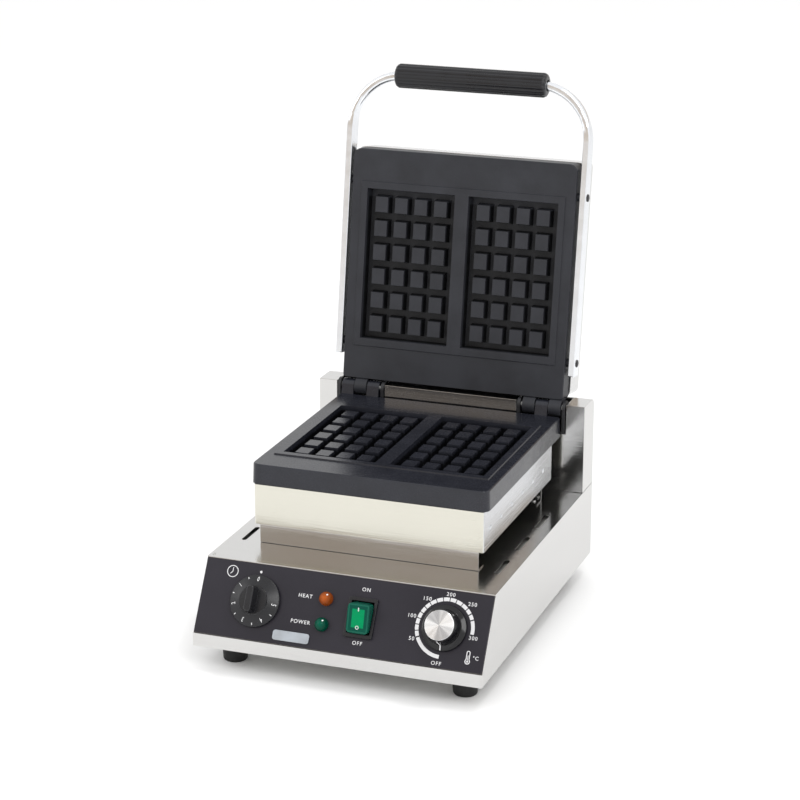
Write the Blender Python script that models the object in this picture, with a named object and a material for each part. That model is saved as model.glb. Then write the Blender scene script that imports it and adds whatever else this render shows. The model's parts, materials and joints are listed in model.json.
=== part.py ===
"""Countertop waffle maker with one double plate, a fold-up lid, a timer and a thermostat.

Three frames carry every piece:
  housing frame  x to the right, y to the rear from the front lip, z up from the base's underside
  panel frame    x to the right, y up the sloping control panel, z straight out of it
  lid frame      on the hinge axis, with the lid drawn closed, then turned open about x
"""
import math

import bmesh
import bpy
from mathutils import Matrix, Vector

# ---------------------------------------------------------------- driving dimensions, in metres
WIDTH = 0.300
DEPTH = 0.380
CLOSED_HEIGHT = 0.270
ORIGIN_BACK = 0.2277
GAP = 0.0003
SHEET = 0.0008
REAR_SHEET = 0.0010

FOOT_HEIGHT = 0.025
FOOT_X = 0.1212
FOOT_Y = (0.038, 0.342)

BASE_HEIGHT = 0.0806
LIP = 0.0136
SLOPE_RUN = 0.0395
PANEL_THICK = 0.0010
FLANGE = 0.014
PAN_LOW = 0.0002
PAN_HIGH = 0.0010
FLANGE_LOW = 0.0013

SPACER_X = 0.1155
SPACER_FRONT = 0.0918
SPACER_REAR = 0.3052
SKIRT_X = 0.121
SKIRT_FRONT = 0.0908
SKIRT_REAR = 0.3226
SKIRT_FLOOR = 0.1004

PLATE_REAR = 0.3397
PLATE_LENGTH = 0.2487
PLATE_X = 0.1248
PLATE_THICK = 0.0208
PLATE_DRAFT = 0.0006
PLATE_CHAMFER = 0.0009
PLATE_CORNER = 0.008
PLATE_FACE = 0.1635
RIM_RAISE = 0.0012
CAVITY_DEPTH = 0.0120
STUD_DROP = 0.0010
STUD_PITCH = (0.0221, 0.0258)
STUD_TOP = (0.0140, 0.0165)
STUD_GRID = (4, 6)
CAVITY_X = (0.0074, 0.1066)
CAVITY_S = (0.0437, 0.2063)
RIM_X = 0.1133
RIM_S = (0.0359, 0.2134)
DRAFT = 0.0016

HINGE_Y = 0.3493
HINGE_Z = 0.1708
LOWER_KNUCKLE_RADIUS = 0.0074
UPPER_KNUCKLE_RADIUS = 0.0088
EAR_RADIUS = 0.0082
KNUCKLES = ((0.0812, 0.0947), (0.0956, 0.1091), (0.1100, 0.1235))
PIN_RADIUS = 0.0040
LID_OPEN = math.radians(98.8)

TOWER_FRONT = 0.3428
TOWER_HIGH = 0.1767
NOTCH_X = (0.0746, 0.1294)
NOTCH_LOW = 0.1445

COVER_WALL = 0.032
COVER_X = 0.1262
HIP_INSET = 0.026

ARM_X = 0.1311
ARM_THICK = 0.0070
ARM_DEEP = 0.0180
ARM_END = 0.0251
BAR_RADIUS = 0.005
BEND_RADIUS = 0.056
GRIP_T = 0.3272
GRIP_HALF = 0.0837
GRIP_RADIUS = 0.0130
ARM_BACK = 0.010
ARM_SCREW_T = (0.0387, 0.2137)

TIMER_AT = (-0.0905, 0.0395)
WING_HIGH = 0.0215
KNOB_HIGH = 0.0186
THERMOSTAT_AT = (0.1056, 0.0395)
SWITCH_AT = (0.0205, 0.0378)
LAMPS_AT = {"heat_lamp": (-0.0180, 0.0515), "power_lamp": (-0.0180, 0.0260)}
LAMP_RADIUS = 0.0070
ROCKER_TILT = math.radians(14.0)
ROCKER_HALF = 0.0115
ROCKER_REACH = 0.0148
ROCKER_RISE = 0.0088

VENT_X = 0.134
VENT_YS = (0.111, 0.1785, 0.246)
WIRE_HOLE_Y = 0.200
GLAND_AT = (-0.095, 0.030)

# ---------------------------------------------------------------- worked-out dimensions
SLOPE_RISE = BASE_HEIGHT - LIP
SLOPE_LENGTH = math.hypot(SLOPE_RUN, SLOPE_RISE)
SLOPE_Y = SLOPE_RUN / SLOPE_LENGTH
SLOPE_Z = SLOPE_RISE / SLOPE_LENGTH
UPPER_FACE = PLATE_FACE + 2 * RIM_RAISE + GAP - HINGE_Z
UPPER_BACK = UPPER_FACE + PLATE_THICK
LID_EDGE = PLATE_REAR - HINGE_Y
COVER_LOW = UPPER_BACK + GAP
COVER_TOP = CLOSED_HEIGHT - FOOT_HEIGHT - HINGE_Z
PLATE_BASE = PLATE_FACE - PLATE_THICK
HEATER_RADIUS = 0.004
CLAMP_BOLT_AT = (0.0, -0.1767)
POSTS_AT = ((0.0, -0.2137), (0.0, -0.0787))
PANEL_BACK = -PANEL_THICK - GAP - SHEET

# ---------------------------------------------------------------- colours
STEEL = ((0.62, 0.61, 0.58), 0.32, 1.0)
DARK_STEEL = ((0.40, 0.40, 0.40), 0.40, 1.0)
CAST = ((0.045, 0.045, 0.052), 0.45, 0.2)
BLACK = ((0.030, 0.030, 0.034), 0.50, 0.0)
GLOSS_BLACK = ((0.015, 0.015, 0.018), 0.15, 0.0)
PANEL = ((0.050, 0.046, 0.052), 0.40, 0.0)
CHROME = ((0.80, 0.80, 0.82), 0.10, 1.0)
ALUMINIUM = ((0.85, 0.85, 0.85), 0.25, 1.0)
RUBBER = ((0.020, 0.020, 0.020), 0.80, 0.0)
WOOL = ((0.70, 0.68, 0.62), 0.95, 0.0)
ORANGE = ((0.80, 0.20, 0.04), 0.20, 0.0)
GREEN = ((0.00, 0.25, 0.12), 0.20, 0.0)
CERAMIC = ((0.82, 0.80, 0.74), 0.55, 0.0)
BRASS = ((0.70, 0.52, 0.22), 0.30, 1.0)


# ---------------------------------------------------------------- scene and objects
def clear_scene():
    for item in list(bpy.data.objects):
        bpy.data.objects.remove(item, do_unlink=True)


def frame_empty(name, parent=None, location=(0, 0, 0), rotation=(0, 0, 0)):
    empty = bpy.data.objects.new(name, None)
    empty.location = location
    empty.rotation_euler = rotation
    empty.parent = parent
    bpy.context.collection.objects.link(empty)
    return empty


def plain_material(name, look):
    colour, roughness, metallic = look
    material = bpy.data.materials.new(name)
    material.use_nodes = True
    shader = material.node_tree.nodes["Principled BSDF"]
    shader.inputs["Base Color"].default_value = (*colour, 1)
    shader.inputs["Roughness"].default_value = roughness
    shader.inputs["Metallic"].default_value = metallic
    return material


def piece(name, look, parent, draw, location=(0, 0, 0), rotation=(0, 0, 0), smooth=True):
    """Make one object; draw(bm) fills its mesh."""
    mesh = bpy.data.meshes.new(name)
    bm = bmesh.new()
    draw(bm)
    bmesh.ops.recalc_face_normals(bm, faces=bm.faces)
    bm.to_mesh(mesh)
    bm.free()
    if smooth:
        mesh.shade_smooth()
        mesh.set_sharp_from_angle(angle=math.radians(35))
    item = bpy.data.objects.new(name, mesh)
    item.location = location
    item.rotation_euler = rotation
    item.parent = parent
    bpy.context.collection.objects.link(item)
    if look is not None:
        mesh.materials.append(plain_material(name, look))
    return item


def cutter(name, parent, draw, location=(0, 0, 0), rotation=(0, 0, 0)):
    item = piece(name, None, parent, draw, location, rotation, smooth=False)
    item.hide_render = True
    item.display_type = "WIRE"
    return item


def combine(target, other, operation="DIFFERENCE"):
    modifier = target.modifiers.new(other.name, "BOOLEAN")
    modifier.operation = operation
    modifier.solver = "EXACT"
    modifier.object = other
    return target


def add_bevel(target, width, segments=2, angle=50):
    modifier = target.modifiers.new("edges", "BEVEL")
    modifier.width = width
    modifier.segments = segments
    modifier.limit_method = "ANGLE"
    modifier.angle_limit = math.radians(angle)
    return target


# ---------------------------------------------------------------- solids
def loft(bm, rings):
    """Join rings of points with equal counts into one closed solid with flat ends."""
    rows = [[bm.verts.new(point) for point in ring] for ring in rings]
    count = len(rows[0])
    for low, high in zip(rows, rows[1:]):
        for i in range(count):
            j = (i + 1) % count
            bm.faces.new((low[i], low[j], high[j], high[i]))
    bm.faces.new(rows[0])
    bm.faces.new(rows[-1])


def block(bm, low, high):
    (x0, y0, z0), (x1, y1, z1) = low, high
    corners = ((x0, y0), (x1, y0), (x1, y1), (x0, y1))
    loft(bm, [[(x, y, z) for x, y in corners] for z in (z0, z1)])


def prism_x(bm, outline, x0, x1):
    loft(bm, [[(x, y, z) for y, z in outline] for x in (x0, x1)])


def prism_y(bm, outline, y0, y1):
    loft(bm, [[(x, y, z) for x, z in outline] for y in (y0, y1)])


def prism_z(bm, outline, z0, z1):
    loft(bm, [[(x, y, z) for x, y in outline] for z in (z0, z1)])


def circle(radius, count, centre=(0, 0), start=0.0):
    step = math.tau / count
    return [
        (centre[0] + radius * math.cos(start + i * step), centre[1] + radius * math.sin(start + i * step))
        for i in range(count)
    ]


def arc(centre, radius, from_deg, to_deg, count):
    step = (to_deg - from_deg) / count
    angles = [math.radians(from_deg + i * step) for i in range(count + 1)]
    return [(centre[0] + radius * math.cos(a), centre[1] + radius * math.sin(a)) for a in angles]


def rounded_rectangle(x0, x1, y0, y1, front_radius, count=4, rear_radius=None):
    points = []
    rear_radius = front_radius if rear_radius is None else rear_radius
    corners = ((x1, y1, 0), (x0, y1, 90), (x0, y0, 180), (x1, y0, 270))
    for x, y, start in corners:
        radius = rear_radius if y == y1 else front_radius
        centre = (x - math.copysign(radius, x - (x0 + x1) / 2), y - math.copysign(radius, y - (y0 + y1) / 2))
        points += arc(centre, radius, start, start + 90, count)
    return points


def hull(points):
    """Convex outline of 2-D points, anticlockwise."""
    ordered = sorted(set(points))

    def half(sequence):
        chain = []
        for x, y in sequence:
            while len(chain) > 1:
                (ax, ay), (bx, by) = chain[-2:]
                if (bx - ax) * (y - ay) - (by - ay) * (x - ax) > 1e-12:
                    break
                chain.pop()
            chain.append((x, y))
        return chain[:-1]

    return half(ordered) + half(reversed(ordered))


def turned(bm, profile, count, place=Matrix()):
    """Turn a closed (radius, height) profile about z; a radius of 0 is a point on the axis."""
    rings = []
    for radius, height in profile:
        if radius < 1e-7:
            rings.append([bm.verts.new(place @ Vector((0, 0, height)))])
        else:
            rings.append([bm.verts.new(place @ Vector((x, y, height))) for x, y in circle(radius, count)])
    for a, b in zip(rings, rings[1:] + rings[:1]):
        for i in range(count):
            j = (i + 1) % count
            if len(a) > 1 and len(b) > 1:
                bm.faces.new((a[i], a[j], b[j], b[i]))
            elif len(a) > 1:
                bm.faces.new((a[i], a[j], b[0]))
            elif len(b) > 1:
                bm.faces.new((a[0], b[j], b[i]))


def rod(bm, radius, low, high, count=16, place=Matrix()):
    loft(bm, [[place @ Vector((x, y, z)) for x, y in circle(radius, count)] for z in (low, high)])


def at(x, y, z=0.0, facing="z"):
    """A place whose local z looks along a named direction."""
    turns = {
        "z": Matrix(),
        "-z": Matrix.Rotation(math.pi, 4, "X"),
        "x": Matrix.Rotation(math.pi / 2, 4, "Y"),
        "-x": Matrix.Rotation(-math.pi / 2, 4, "Y"),
        "y": Matrix.Rotation(-math.pi / 2, 4, "X"),
    }
    return Matrix.Translation((x, y, z)) @ turns[facing]


def screw(name, parent, place, head_radius, head_height, shaft_radius, shaft_length, look=DARK_STEEL):
    """Pan-head screw whose seat is at the place, with its head along local z."""
    profile = [
        (0, -shaft_length),
        (shaft_radius, -shaft_length),
        (shaft_radius, 0),
        (head_radius, 0),
        (head_radius, head_height * 0.55),
        (head_radius * 0.65, head_height),
        (0, head_height),
    ]
    return piece(name, look, parent, lambda bm: turned(bm, profile, 12, place))


def holes(name, parent, places, radius, low, high, count=16):
    def draw(bm):
        for place in places:
            rod(bm, radius, low, high, count, place)

    return cutter(name, parent, draw)


def tube(bm, path, sizes, count=10):
    """Sweep a section along a flat path in the plane of z.

    Each size is (width, height, power): a power of 1 is an oval, and a smaller one is squarer.
    """
    rings = []
    for i, point in enumerate(path):
        before = Vector(path[max(i - 1, 0)])
        after = Vector(path[min(i + 1, len(path) - 1)])
        along = (after - before).normalized()
        side = along.cross(Vector((0, 0, 1))).normalized()
        width, height, power = sizes[i]
        ring_points = []
        for x, y in circle(1, count, start=math.pi / count):
            across = math.copysign(abs(x) ** power, x) * width / 2
            up = math.copysign(abs(y) ** power, y) * height / 2
            ring_points.append(Vector(point) + side * across + Vector((0, 0, up)))
        rings.append(ring_points)
    loft(bm, rings)


# ---------------------------------------------------------------- base housing
def slope_point(t, out=0.0):
    """Point (y, z) on the sloping front, t up the slope and out from it."""
    return (t * SLOPE_Y - out * SLOPE_Z, LIP + t * SLOPE_Z + out * SLOPE_Y)


def slope_at_height(z, out):
    t = (z - LIP - out * SLOPE_Y) / SLOPE_Z
    return slope_point(t, out)


def foot_places(facing="z", height=0.0):
    return [at(x, y, height, facing) for x in (-FOOT_X, FOOT_X) for y in FOOT_Y]


def slot(bm, x, y, width, length, low, high):
    half = width / 2
    reach = length / 2 - half
    outline = arc((x, y + reach), half, 0, 180, 4) + arc((x, y - reach), half, 180, 360, 4)
    prism_z(bm, outline, low, high)


def control_holes(bm):
    """Openings for both shafts, both lamps and the switch, drawn in the panel frame."""
    for x, y in (TIMER_AT, THERMOSTAT_AT):
        rod(bm, 0.0050, -0.006, 0.006, 16, at(x, y))
    for x, y in LAMPS_AT.values():
        rod(bm, 0.0044, -0.006, 0.006, 16, at(x, y))
    x, y = SWITCH_AT
    block(bm, (x - 0.0131, y - 0.0171, -0.006), (x + 0.0131, y + 0.0171, 0.006))


def make_base_housing(housing, panel_holes):
    recess = PANEL_THICK + GAP
    outer = [
        (0, 0),
        (0, LIP),
        slope_at_height(LIP, -recess),
        slope_point(SLOPE_LENGTH - 0.0007, -recess),
        slope_point(SLOPE_LENGTH - 0.0007),
        slope_point(SLOPE_LENGTH),
        (DEPTH, BASE_HEIGHT),
        (DEPTH, 0),
    ]
    base = piece("base_housing", STEEL, housing, lambda bm: prism_x(bm, outer, -WIDTH / 2, WIDTH / 2))

    inner_out = -recess - SHEET
    t_at_wall = (SHEET + inner_out * SLOPE_Z) / SLOPE_Y
    inside = WIDTH / 2 - SHEET
    inner = [
        (SHEET, FLANGE_LOW + SHEET),
        slope_point(t_at_wall, inner_out),
        slope_at_height(BASE_HEIGHT - SHEET, inner_out),
        (DEPTH - SHEET, BASE_HEIGHT - SHEET),
        (DEPTH - SHEET, FLANGE_LOW + SHEET),
    ]
    combine(base, cutter("base_hollow", housing, lambda bm: prism_x(bm, inner, -inside, inside)))
    combine(base, cutter("pan_recess", housing, lambda bm: block(
        bm, (-inside, SHEET, -0.01), (inside, DEPTH - SHEET, FLANGE_LOW))))
    reach = inside - FLANGE
    combine(base, cutter("base_mouth", housing, lambda bm: block(
        bm, (-reach, SHEET + FLANGE, -0.01), (reach, DEPTH - SHEET - FLANGE, 0.01))))
    combine(base, panel_holes)

    def top_openings(bm):
        low, high = BASE_HEIGHT - 0.004, BASE_HEIGHT + 0.004
        for side in (-1, 1):
            for y in VENT_YS:
                slot(bm, side * VENT_X, y, 0.0052, 0.039, low, high)
        rod(bm, 0.0130, low, high, 20, at(0, WIRE_HOLE_Y))
        rod(bm, 0.0120, low, high, 20, at(0, 0.360))

    combine(base, cutter("top_openings", housing, top_openings))
    gland_x, gland_z = GLAND_AT
    combine(base, holes("gland_hole", housing, [at(gland_x, DEPTH, gland_z, "y")], 0.0083, -0.005, 0.005, 20))


def make_pan(housing):
    edge = SHEET + GAP
    pan = piece("base_pan", DARK_STEEL, housing, lambda bm: block(
        bm, (-WIDTH / 2 + edge, edge, PAN_LOW), (WIDTH / 2 - edge, DEPTH - edge, PAN_HIGH)))
    combine(pan, holes("pan_foot_holes", housing, foot_places(), 0.0028, -0.003, 0.004, 12))

    def air_slots(bm):
        for x in (-0.060, -0.030, 0.0, 0.030, 0.060):
            slot(bm, x, 0.190, 0.0050, 0.060, -0.003, 0.004)

    combine(pan, cutter("pan_air_slots", housing, air_slots))


def make_feet(housing):
    top = PAN_LOW - GAP
    profile = [
        (0.0028, top),
        (0.0136, top),
        (0.0134, -0.0060),
        (0.0122, -FOOT_HEIGHT + 0.0016),
        (0.0110, -FOOT_HEIGHT),
        (0.0060, -FOOT_HEIGHT),
        (0.0060, -0.0110),
        (0.0028, -0.0110),
    ]
    corners = [f"{row}_{side}" for side in ("left", "right") for row in ("front", "rear")]
    for corner, foot_place, screw_place in zip(corners, foot_places(), foot_places("-z", -0.0113)):
        piece(f"foot_{corner}", RUBBER, housing, lambda bm: turned(bm, profile, 16), foot_place.translation)
        screw(f"foot_screw_{corner}", housing, screw_place, 0.0045, 0.0030, 0.0025, 0.0160)


# ---------------------------------------------------------------- control panel
def make_panel(panel, panel_holes):
    plate = piece("control_panel", PANEL, panel, lambda bm: block(
        bm, (-WIDTH / 2 + 0.0005, 0.0010, -PANEL_THICK), (WIDTH / 2 - 0.0005, SLOPE_LENGTH - 0.0010, 0)))
    combine(plate, panel_holes)
    badge = rounded_rectangle(-0.0190, 0.0190, -0.0050, 0.0050, 0.0025, 3)
    piece("panel_badge", ALUMINIUM, panel, lambda bm: prism_z(bm, badge, GAP, 0.0012), (-0.0474, 0.0098, 0))


def lamp(panel, name, look):
    x, y = LAMPS_AT[name]
    dome = arc((0, 0.0018), LAMP_RADIUS, 0, 90, 5)[:-1]
    profile = [(0, -0.0035), (0.0040, -0.0035), (0.0040, GAP), (LAMP_RADIUS, GAP)]
    profile += dome + [(0, 0.0018 + LAMP_RADIUS)]
    piece(f"{name}_lens", look, panel, lambda bm: turned(bm, profile, 18), (x, y, 0))
    socket = [
        (0, -0.0240),
        (0.0060, -0.0240),
        (0.0060, -0.0040),
        (0, -0.0040),
    ]
    piece(f"{name}_socket", BLACK, panel, lambda bm: turned(bm, socket, 16), (x, y, 0))


def make_timer(panel):
    x, y = TIMER_AT
    body = piece("timer_body", CERAMIC, panel, lambda bm: block(
        bm, (x - 0.022, y - 0.022, -0.034), (x + 0.022, y + 0.022, PANEL_BACK - 0.001)))
    combine(body, holes("timer_bore", panel, [at(x, y)], 0.0034, -0.018, 0.002, 16))

    skirt = [
        (0, 0.0010),
        (0.0258, 0.0010),
        (0.0260, 0.0030),
        (0.0250, 0.0042),
        (0.0150, 0.0078),
        (0.0142, 0.0092),
        (0, 0.0096),
    ]
    knob = piece("timer_knob", BLACK, panel, lambda bm: turned(bm, skirt, 36), (x, y, 0))

    def wing(bm):
        foot = rounded_rectangle(-0.0048, 0.0048, -0.0140, 0.0140, 0.0044, 4)
        shoulder = rounded_rectangle(-0.0038, 0.0038, -0.0130, 0.0130, 0.0036, 4)
        crown = rounded_rectangle(-0.0028, 0.0028, -0.0119, 0.0119, 0.0027, 4)
        levels = ((foot, 0.0050), (shoulder, WING_HIGH - 0.0010), (crown, WING_HIGH))
        loft(bm, [[(px, py, z) for px, py in outline] for outline, z in levels])

    combine(knob, cutter("timer_wing", panel, wing, (x, y, 0)), "UNION")
    combine(knob, holes("timer_knob_bore", panel, [at(x, y)], 0.00315, -0.002, 0.0125, 16))
    shaft = [(0, -0.0160), (0.0030, -0.0160), (0.0030, 0.0120), (0, 0.0120)]
    piece("timer_shaft", DARK_STEEL, panel, lambda bm: turned(bm, shaft, 16), (x, y, 0))


def make_thermostat(panel):
    x, y = THERMOSTAT_AT
    body_profile = [(0, -0.030), (0.019, -0.030), (0.019, PANEL_BACK - 0.001), (0, PANEL_BACK - 0.001)]
    body = piece("thermostat_body", CERAMIC, panel, lambda bm: turned(bm, body_profile, 24), (x, y, 0))
    combine(body, holes("thermostat_bore", panel, [at(x, y)], 0.0034, -0.018, 0.002, 16))
    knob_profile = [
        (0, 0.0010),
        (0.0219, 0.0010),
        (0.0228, 0.0020),
        (0.0223, 0.0034),
        (0.0184, 0.0046),
        (0.0172, 0.0060),
        (0.0159, KNOB_HIGH),
        (0, KNOB_HIGH),
    ]
    knob = piece("thermostat_knob", GLOSS_BLACK, panel, lambda bm: turned(bm, knob_profile, 36), (x, y, 0))
    combine(knob, holes("thermostat_knob_bore", panel, [at(x, y)], 0.00315, -0.002, 0.0130, 16))
    seat = KNOB_HIGH + GAP
    cap = [(0, seat), (0.0148, seat), (0.0148, seat + 0.0007), (0.0143, seat + 0.0013), (0, seat + 0.0015)]
    piece("thermostat_cap", ALUMINIUM, panel, lambda bm: turned(bm, cap, 32), (x, y, 0))
    shaft = [(0, -0.0160), (0.0030, -0.0160), (0.0030, 0.0120), (0, 0.0120)]
    piece("thermostat_shaft", DARK_STEEL, panel, lambda bm: turned(bm, shaft, 16), (x, y, 0))


def make_switch(panel):
    x, y = SWITCH_AT
    rim = 0.0030
    mouth_x = ROCKER_HALF + GAP
    body = piece("switch_housing", BLACK, panel, lambda bm: block(
        bm, (x - 0.0127, y - 0.0167, -0.0240), (x + 0.0127, y + 0.0167, rim - 0.0005)))
    frame = rounded_rectangle(-0.0148, 0.0148, -0.0197, 0.0197, 0.0015, 2)
    combine(body, cutter("switch_frame", panel, lambda bm: prism_z(bm, frame, GAP, rim), (x, y, 0)), "UNION")
    combine(body, cutter("switch_mouth", panel, lambda bm: block(
        bm, (x - mouth_x, y - 0.0159, -0.0200), (x + mouth_x, y + 0.0159, rim + 0.01))))

    pivot = 0.0015
    side = [(ROCKER_REACH - 0.0009, ROCKER_RISE), (ROCKER_REACH, ROCKER_RISE - 0.0009), (ROCKER_REACH, -0.0030)]
    right = side + [(0.0070, -0.0100)]
    outline = [(0, ROCKER_RISE - 0.0004)] + right + [(-y_, z) for y_, z in reversed(right)]
    rocker = piece("switch_rocker", GREEN, panel, lambda bm: prism_x(bm, outline, -ROCKER_HALF, ROCKER_HALF),
                   (x, y, pivot), (ROCKER_TILT, 0, 0))
    face = rounded_rectangle(-ROCKER_HALF, ROCKER_HALF, -ROCKER_REACH, ROCKER_REACH, 0.0048, 5)
    combine(rocker, cutter("rocker_corners", panel, lambda bm: prism_z(bm, face, -0.02, 0.02),
                           (x, y, pivot), (ROCKER_TILT, 0, 0)), "INTERSECT")
    add_bevel(rocker, 0.0007, 2, 60)
    combine(rocker, holes("rocker_bore", panel, [at(x, y, pivot, "x")], 0.00135, -0.02, 0.02, 12))
    piece("switch_pivot_pin", DARK_STEEL, panel, lambda bm: rod(
        bm, 0.0012, -ROCKER_HALF, ROCKER_HALF, 12, at(0, 0, 0, "x")), (x, y, pivot))


# ---------------------------------------------------------------- parts inside the base
def make_terminals(housing):
    def draw(bm):
        block(bm, (-0.030, 0.300, 0.0035), (0.030, 0.322, 0.0200))

    block_piece = piece("terminal_block", CERAMIC, housing, draw)
    places = [at(x, 0.311, 0.020) for x in (-0.020, 0.0, 0.020)]
    combine(block_piece, holes("terminal_wells", housing, places, 0.0032, -0.010, 0.002, 12))


def make_gland(housing):
    x, z = GLAND_AT
    outside = DEPTH + GAP
    body = [
        (0.0045, -0.0200),
        (0.0080, -0.0200),
        (0.0080, 0),
        (0.0120, 0),
        (0.0120, 0.0060),
        (0.0095, 0.0120),
        (0.0045, 0.0120),
    ]
    piece("cable_gland", BLACK, housing, lambda bm: turned(bm, body, 24, at(x, outside, z, "y")))
    nut = [(0.0083, -0.0070), (0.0120, -0.0070), (0.0120, -0.0020), (0.0083, -0.0020)]
    piece("gland_nut", BLACK, housing, lambda bm: turned(bm, nut, 24, at(x, outside, z, "y")))


def make_capillary(housing):
    """Sensing tube from the thermostat, up through the conduit, to its bulb below the lower plate."""
    route = [
        Vector((0.0850, 0.070, 0.030)),
        Vector((0.0500, 0.110, 0.034)),
        Vector((0.0120, 0.170, 0.040)),
        Vector((0.0000, 0.196, 0.060)),
        Vector((0.0000, 0.200, 0.085)),
        Vector((0.0000, 0.200, 0.112)),
        Vector((0.0000, 0.203, 0.128)),
        Vector((0.0000, 0.212, 0.1385)),
        Vector((0.0000, 0.224, 0.1385)),
    ]
    bulb_radius = 0.0028
    line_radius = 0.0014

    def draw(bm):
        rings = []
        points = route + [route[-1] + Vector((0, 0.0010, 0)), route[-1] + Vector((0, 0.060, 0))]
        radii = [line_radius] * len(route) + [bulb_radius] * 2
        for i, (point, radius) in enumerate(zip(points, radii)):
            before = points[max(i - 1, 0)]
            after = points[min(i + 1, len(points) - 1)]
            along = (after - before).normalized()
            side = along.cross(Vector((1, 0, 0.02))).normalized()
            other = along.cross(side).normalized()
            rings.append([point + side * a + other * b for a, b in circle(radius, 8)])
        loft(bm, rings)

    piece("thermostat_capillary", BRASS, housing, draw)


# ---------------------------------------------------------------- pedestal and lower skirt
def make_spacers(housing):
    low = BASE_HEIGHT + GAP
    high = SKIRT_FLOOR - GAP
    flange = 0.016
    for name, wall, side in (("front_spacer", SPACER_FRONT, 1), ("rear_spacer", SPACER_REAR, -1)):
        inner = wall + side * SHEET
        tip = wall + side * flange
        outline = [
            (wall, low),
            (tip, low),
            (tip, low + SHEET),
            (inner, low + SHEET),
            (inner, high - SHEET),
            (tip, high - SHEET),
            (tip, high),
            (wall, high),
        ]
        piece(name, STEEL, housing, lambda bm: prism_x(bm, outline, -SPACER_X, SPACER_X))

    ring = [(0.0105, low), (0.0120, low), (0.0120, high), (0.0105, high)]
    piece("wire_conduit", DARK_STEEL, housing, lambda bm: turned(bm, ring, 20), (0, WIRE_HOLE_Y, 0))


def make_skirt(housing):
    top = PLATE_BASE - GAP
    outer = rounded_rectangle(-SKIRT_X, SKIRT_X, SKIRT_FRONT, SKIRT_REAR, 0.002, 2)
    skirt = piece("lower_skirt", STEEL, housing, lambda bm: prism_z(bm, outer, SKIRT_FLOOR, top))
    combine(skirt, cutter("skirt_hollow", housing, lambda bm: block(
        bm, (-SKIRT_X + SHEET, SKIRT_FRONT + SHEET, SKIRT_FLOOR + SHEET),
        (SKIRT_X - SHEET, SKIRT_REAR - SHEET, top + 0.01))))
    combine(skirt, holes("skirt_wire_hole", housing, [at(0, WIRE_HOLE_Y, SKIRT_FLOOR)], 0.0100, -0.004, 0.004, 20))


# ---------------------------------------------------------------- heating parts, in a plate frame
def heater_path(z):
    """One element bent into an M: two turns near the front of the plate and one near its rear."""
    inner_x, outer_x = 0.030, 0.084
    front, rear, ends = -0.1987, -0.0587, -0.0307
    middle = (inner_x + outer_x) / 2
    bend = (outer_x - inner_x) / 2
    flat = [(-outer_x, ends)]
    flat += arc((-middle, front), bend, 180, 360, 10)
    flat += arc((0, rear), inner_x, 180, 0, 10)
    flat += arc((middle, front), bend, 180, 360, 10)
    flat += [(outer_x, ends)]
    return [(x, y, z) for x, y in flat]


def make_heating(prefix, plate_frame, post_end=None):
    """Element, clamp plate, its bolt and the insulation, stacked away from the cooking face.

    With a post_end the clamp plate carries two posts that reach that height, for the cover's screws.
    """
    back = -PLATE_THICK
    element_z = back - GAP - HEATER_RADIUS
    path = heater_path(element_z)
    sizes = [(2 * HEATER_RADIUS, 2 * HEATER_RADIUS, 1)] * len(path)
    piece(f"{prefix}_heating_element", DARK_STEEL, plate_frame, lambda bm: tube(bm, path, sizes, 8))

    clamp_top = element_z - HEATER_RADIUS - GAP
    clamp_low = clamp_top - 0.0010
    clamp = piece(f"{prefix}_clamp_plate", DARK_STEEL, plate_frame, lambda bm: block(
        bm, (-0.108, -0.2347, clamp_low), (0.108, -0.0267, clamp_top)))
    bolt_x, bolt_y = CLAMP_BOLT_AT
    combine(clamp, holes(f"{prefix}_clamp_hole", plate_frame, [at(bolt_x, bolt_y, clamp_low)], 0.0028, -0.003, 0.004))
    screw(f"{prefix}_clamp_bolt", plate_frame, at(bolt_x, bolt_y, clamp_low - GAP, "-z"),
          0.0050, 0.0034, 0.0025, 0.0160)

    wool_top = clamp_low - 0.0042
    wool_low = wool_top - 0.0160
    wool = piece(f"{prefix}_insulation", WOOL, plate_frame, lambda bm: block(
        bm, (-0.106, -0.2327, wool_low), (0.106, -0.0287, wool_top)), smooth=False)
    if post_end is not None:
        places = [at(x, y) for x, y in POSTS_AT]

        def draw_posts(bm):
            for place in places:
                rod(bm, 0.0045, post_end, clamp_top - 0.0005, 12, place)

        combine(clamp, cutter("clamp_posts", plate_frame, draw_posts), "UNION")
        combine(clamp, holes("post_threads", plate_frame, places, 0.0021, post_end - 0.002, post_end + 0.0110, 12))
        combine(wool, holes("wool_holes", plate_frame, places, 0.0060, wool_low - 0.002, wool_top + 0.002, 12))
    else:
        wire_y = WIRE_HOLE_Y - PLATE_REAR
        combine(wool, holes("wool_hole", plate_frame, [at(0, wire_y, wool_low)], 0.0140, -0.002, 0.020))
        combine(clamp, cutter("bulb_slot", plate_frame, lambda bm: block(
            bm, (-0.006, wire_y - 0.014, clamp_low - 0.003), (0.006, wire_y + 0.100, clamp_top + 0.003))))


# ---------------------------------------------------------------- waffle plates
def cavity_ranges():
    (x0, x1), (s0, s1) = CAVITY_X, CAVITY_S
    return [((-x1, -x0), (-s1, -s0)), ((x0, x1), (-s1, -s0))]


def frustum(bm, x_range, y_range, z_low, z_high, spread):
    """Block that is wider at its foot by the spread on every side."""
    (x0, x1), (y0, y1) = x_range, y_range
    rings = []
    for z, grow in ((z_low, spread), (z_high, 0)):
        rings.append([
            (x0 - grow, y0 - grow, z),
            (x1 + grow, y0 - grow, z),
            (x1 + grow, y1 + grow, z),
            (x0 - grow, y1 + grow, z),
        ])
    loft(bm, rings)


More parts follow.
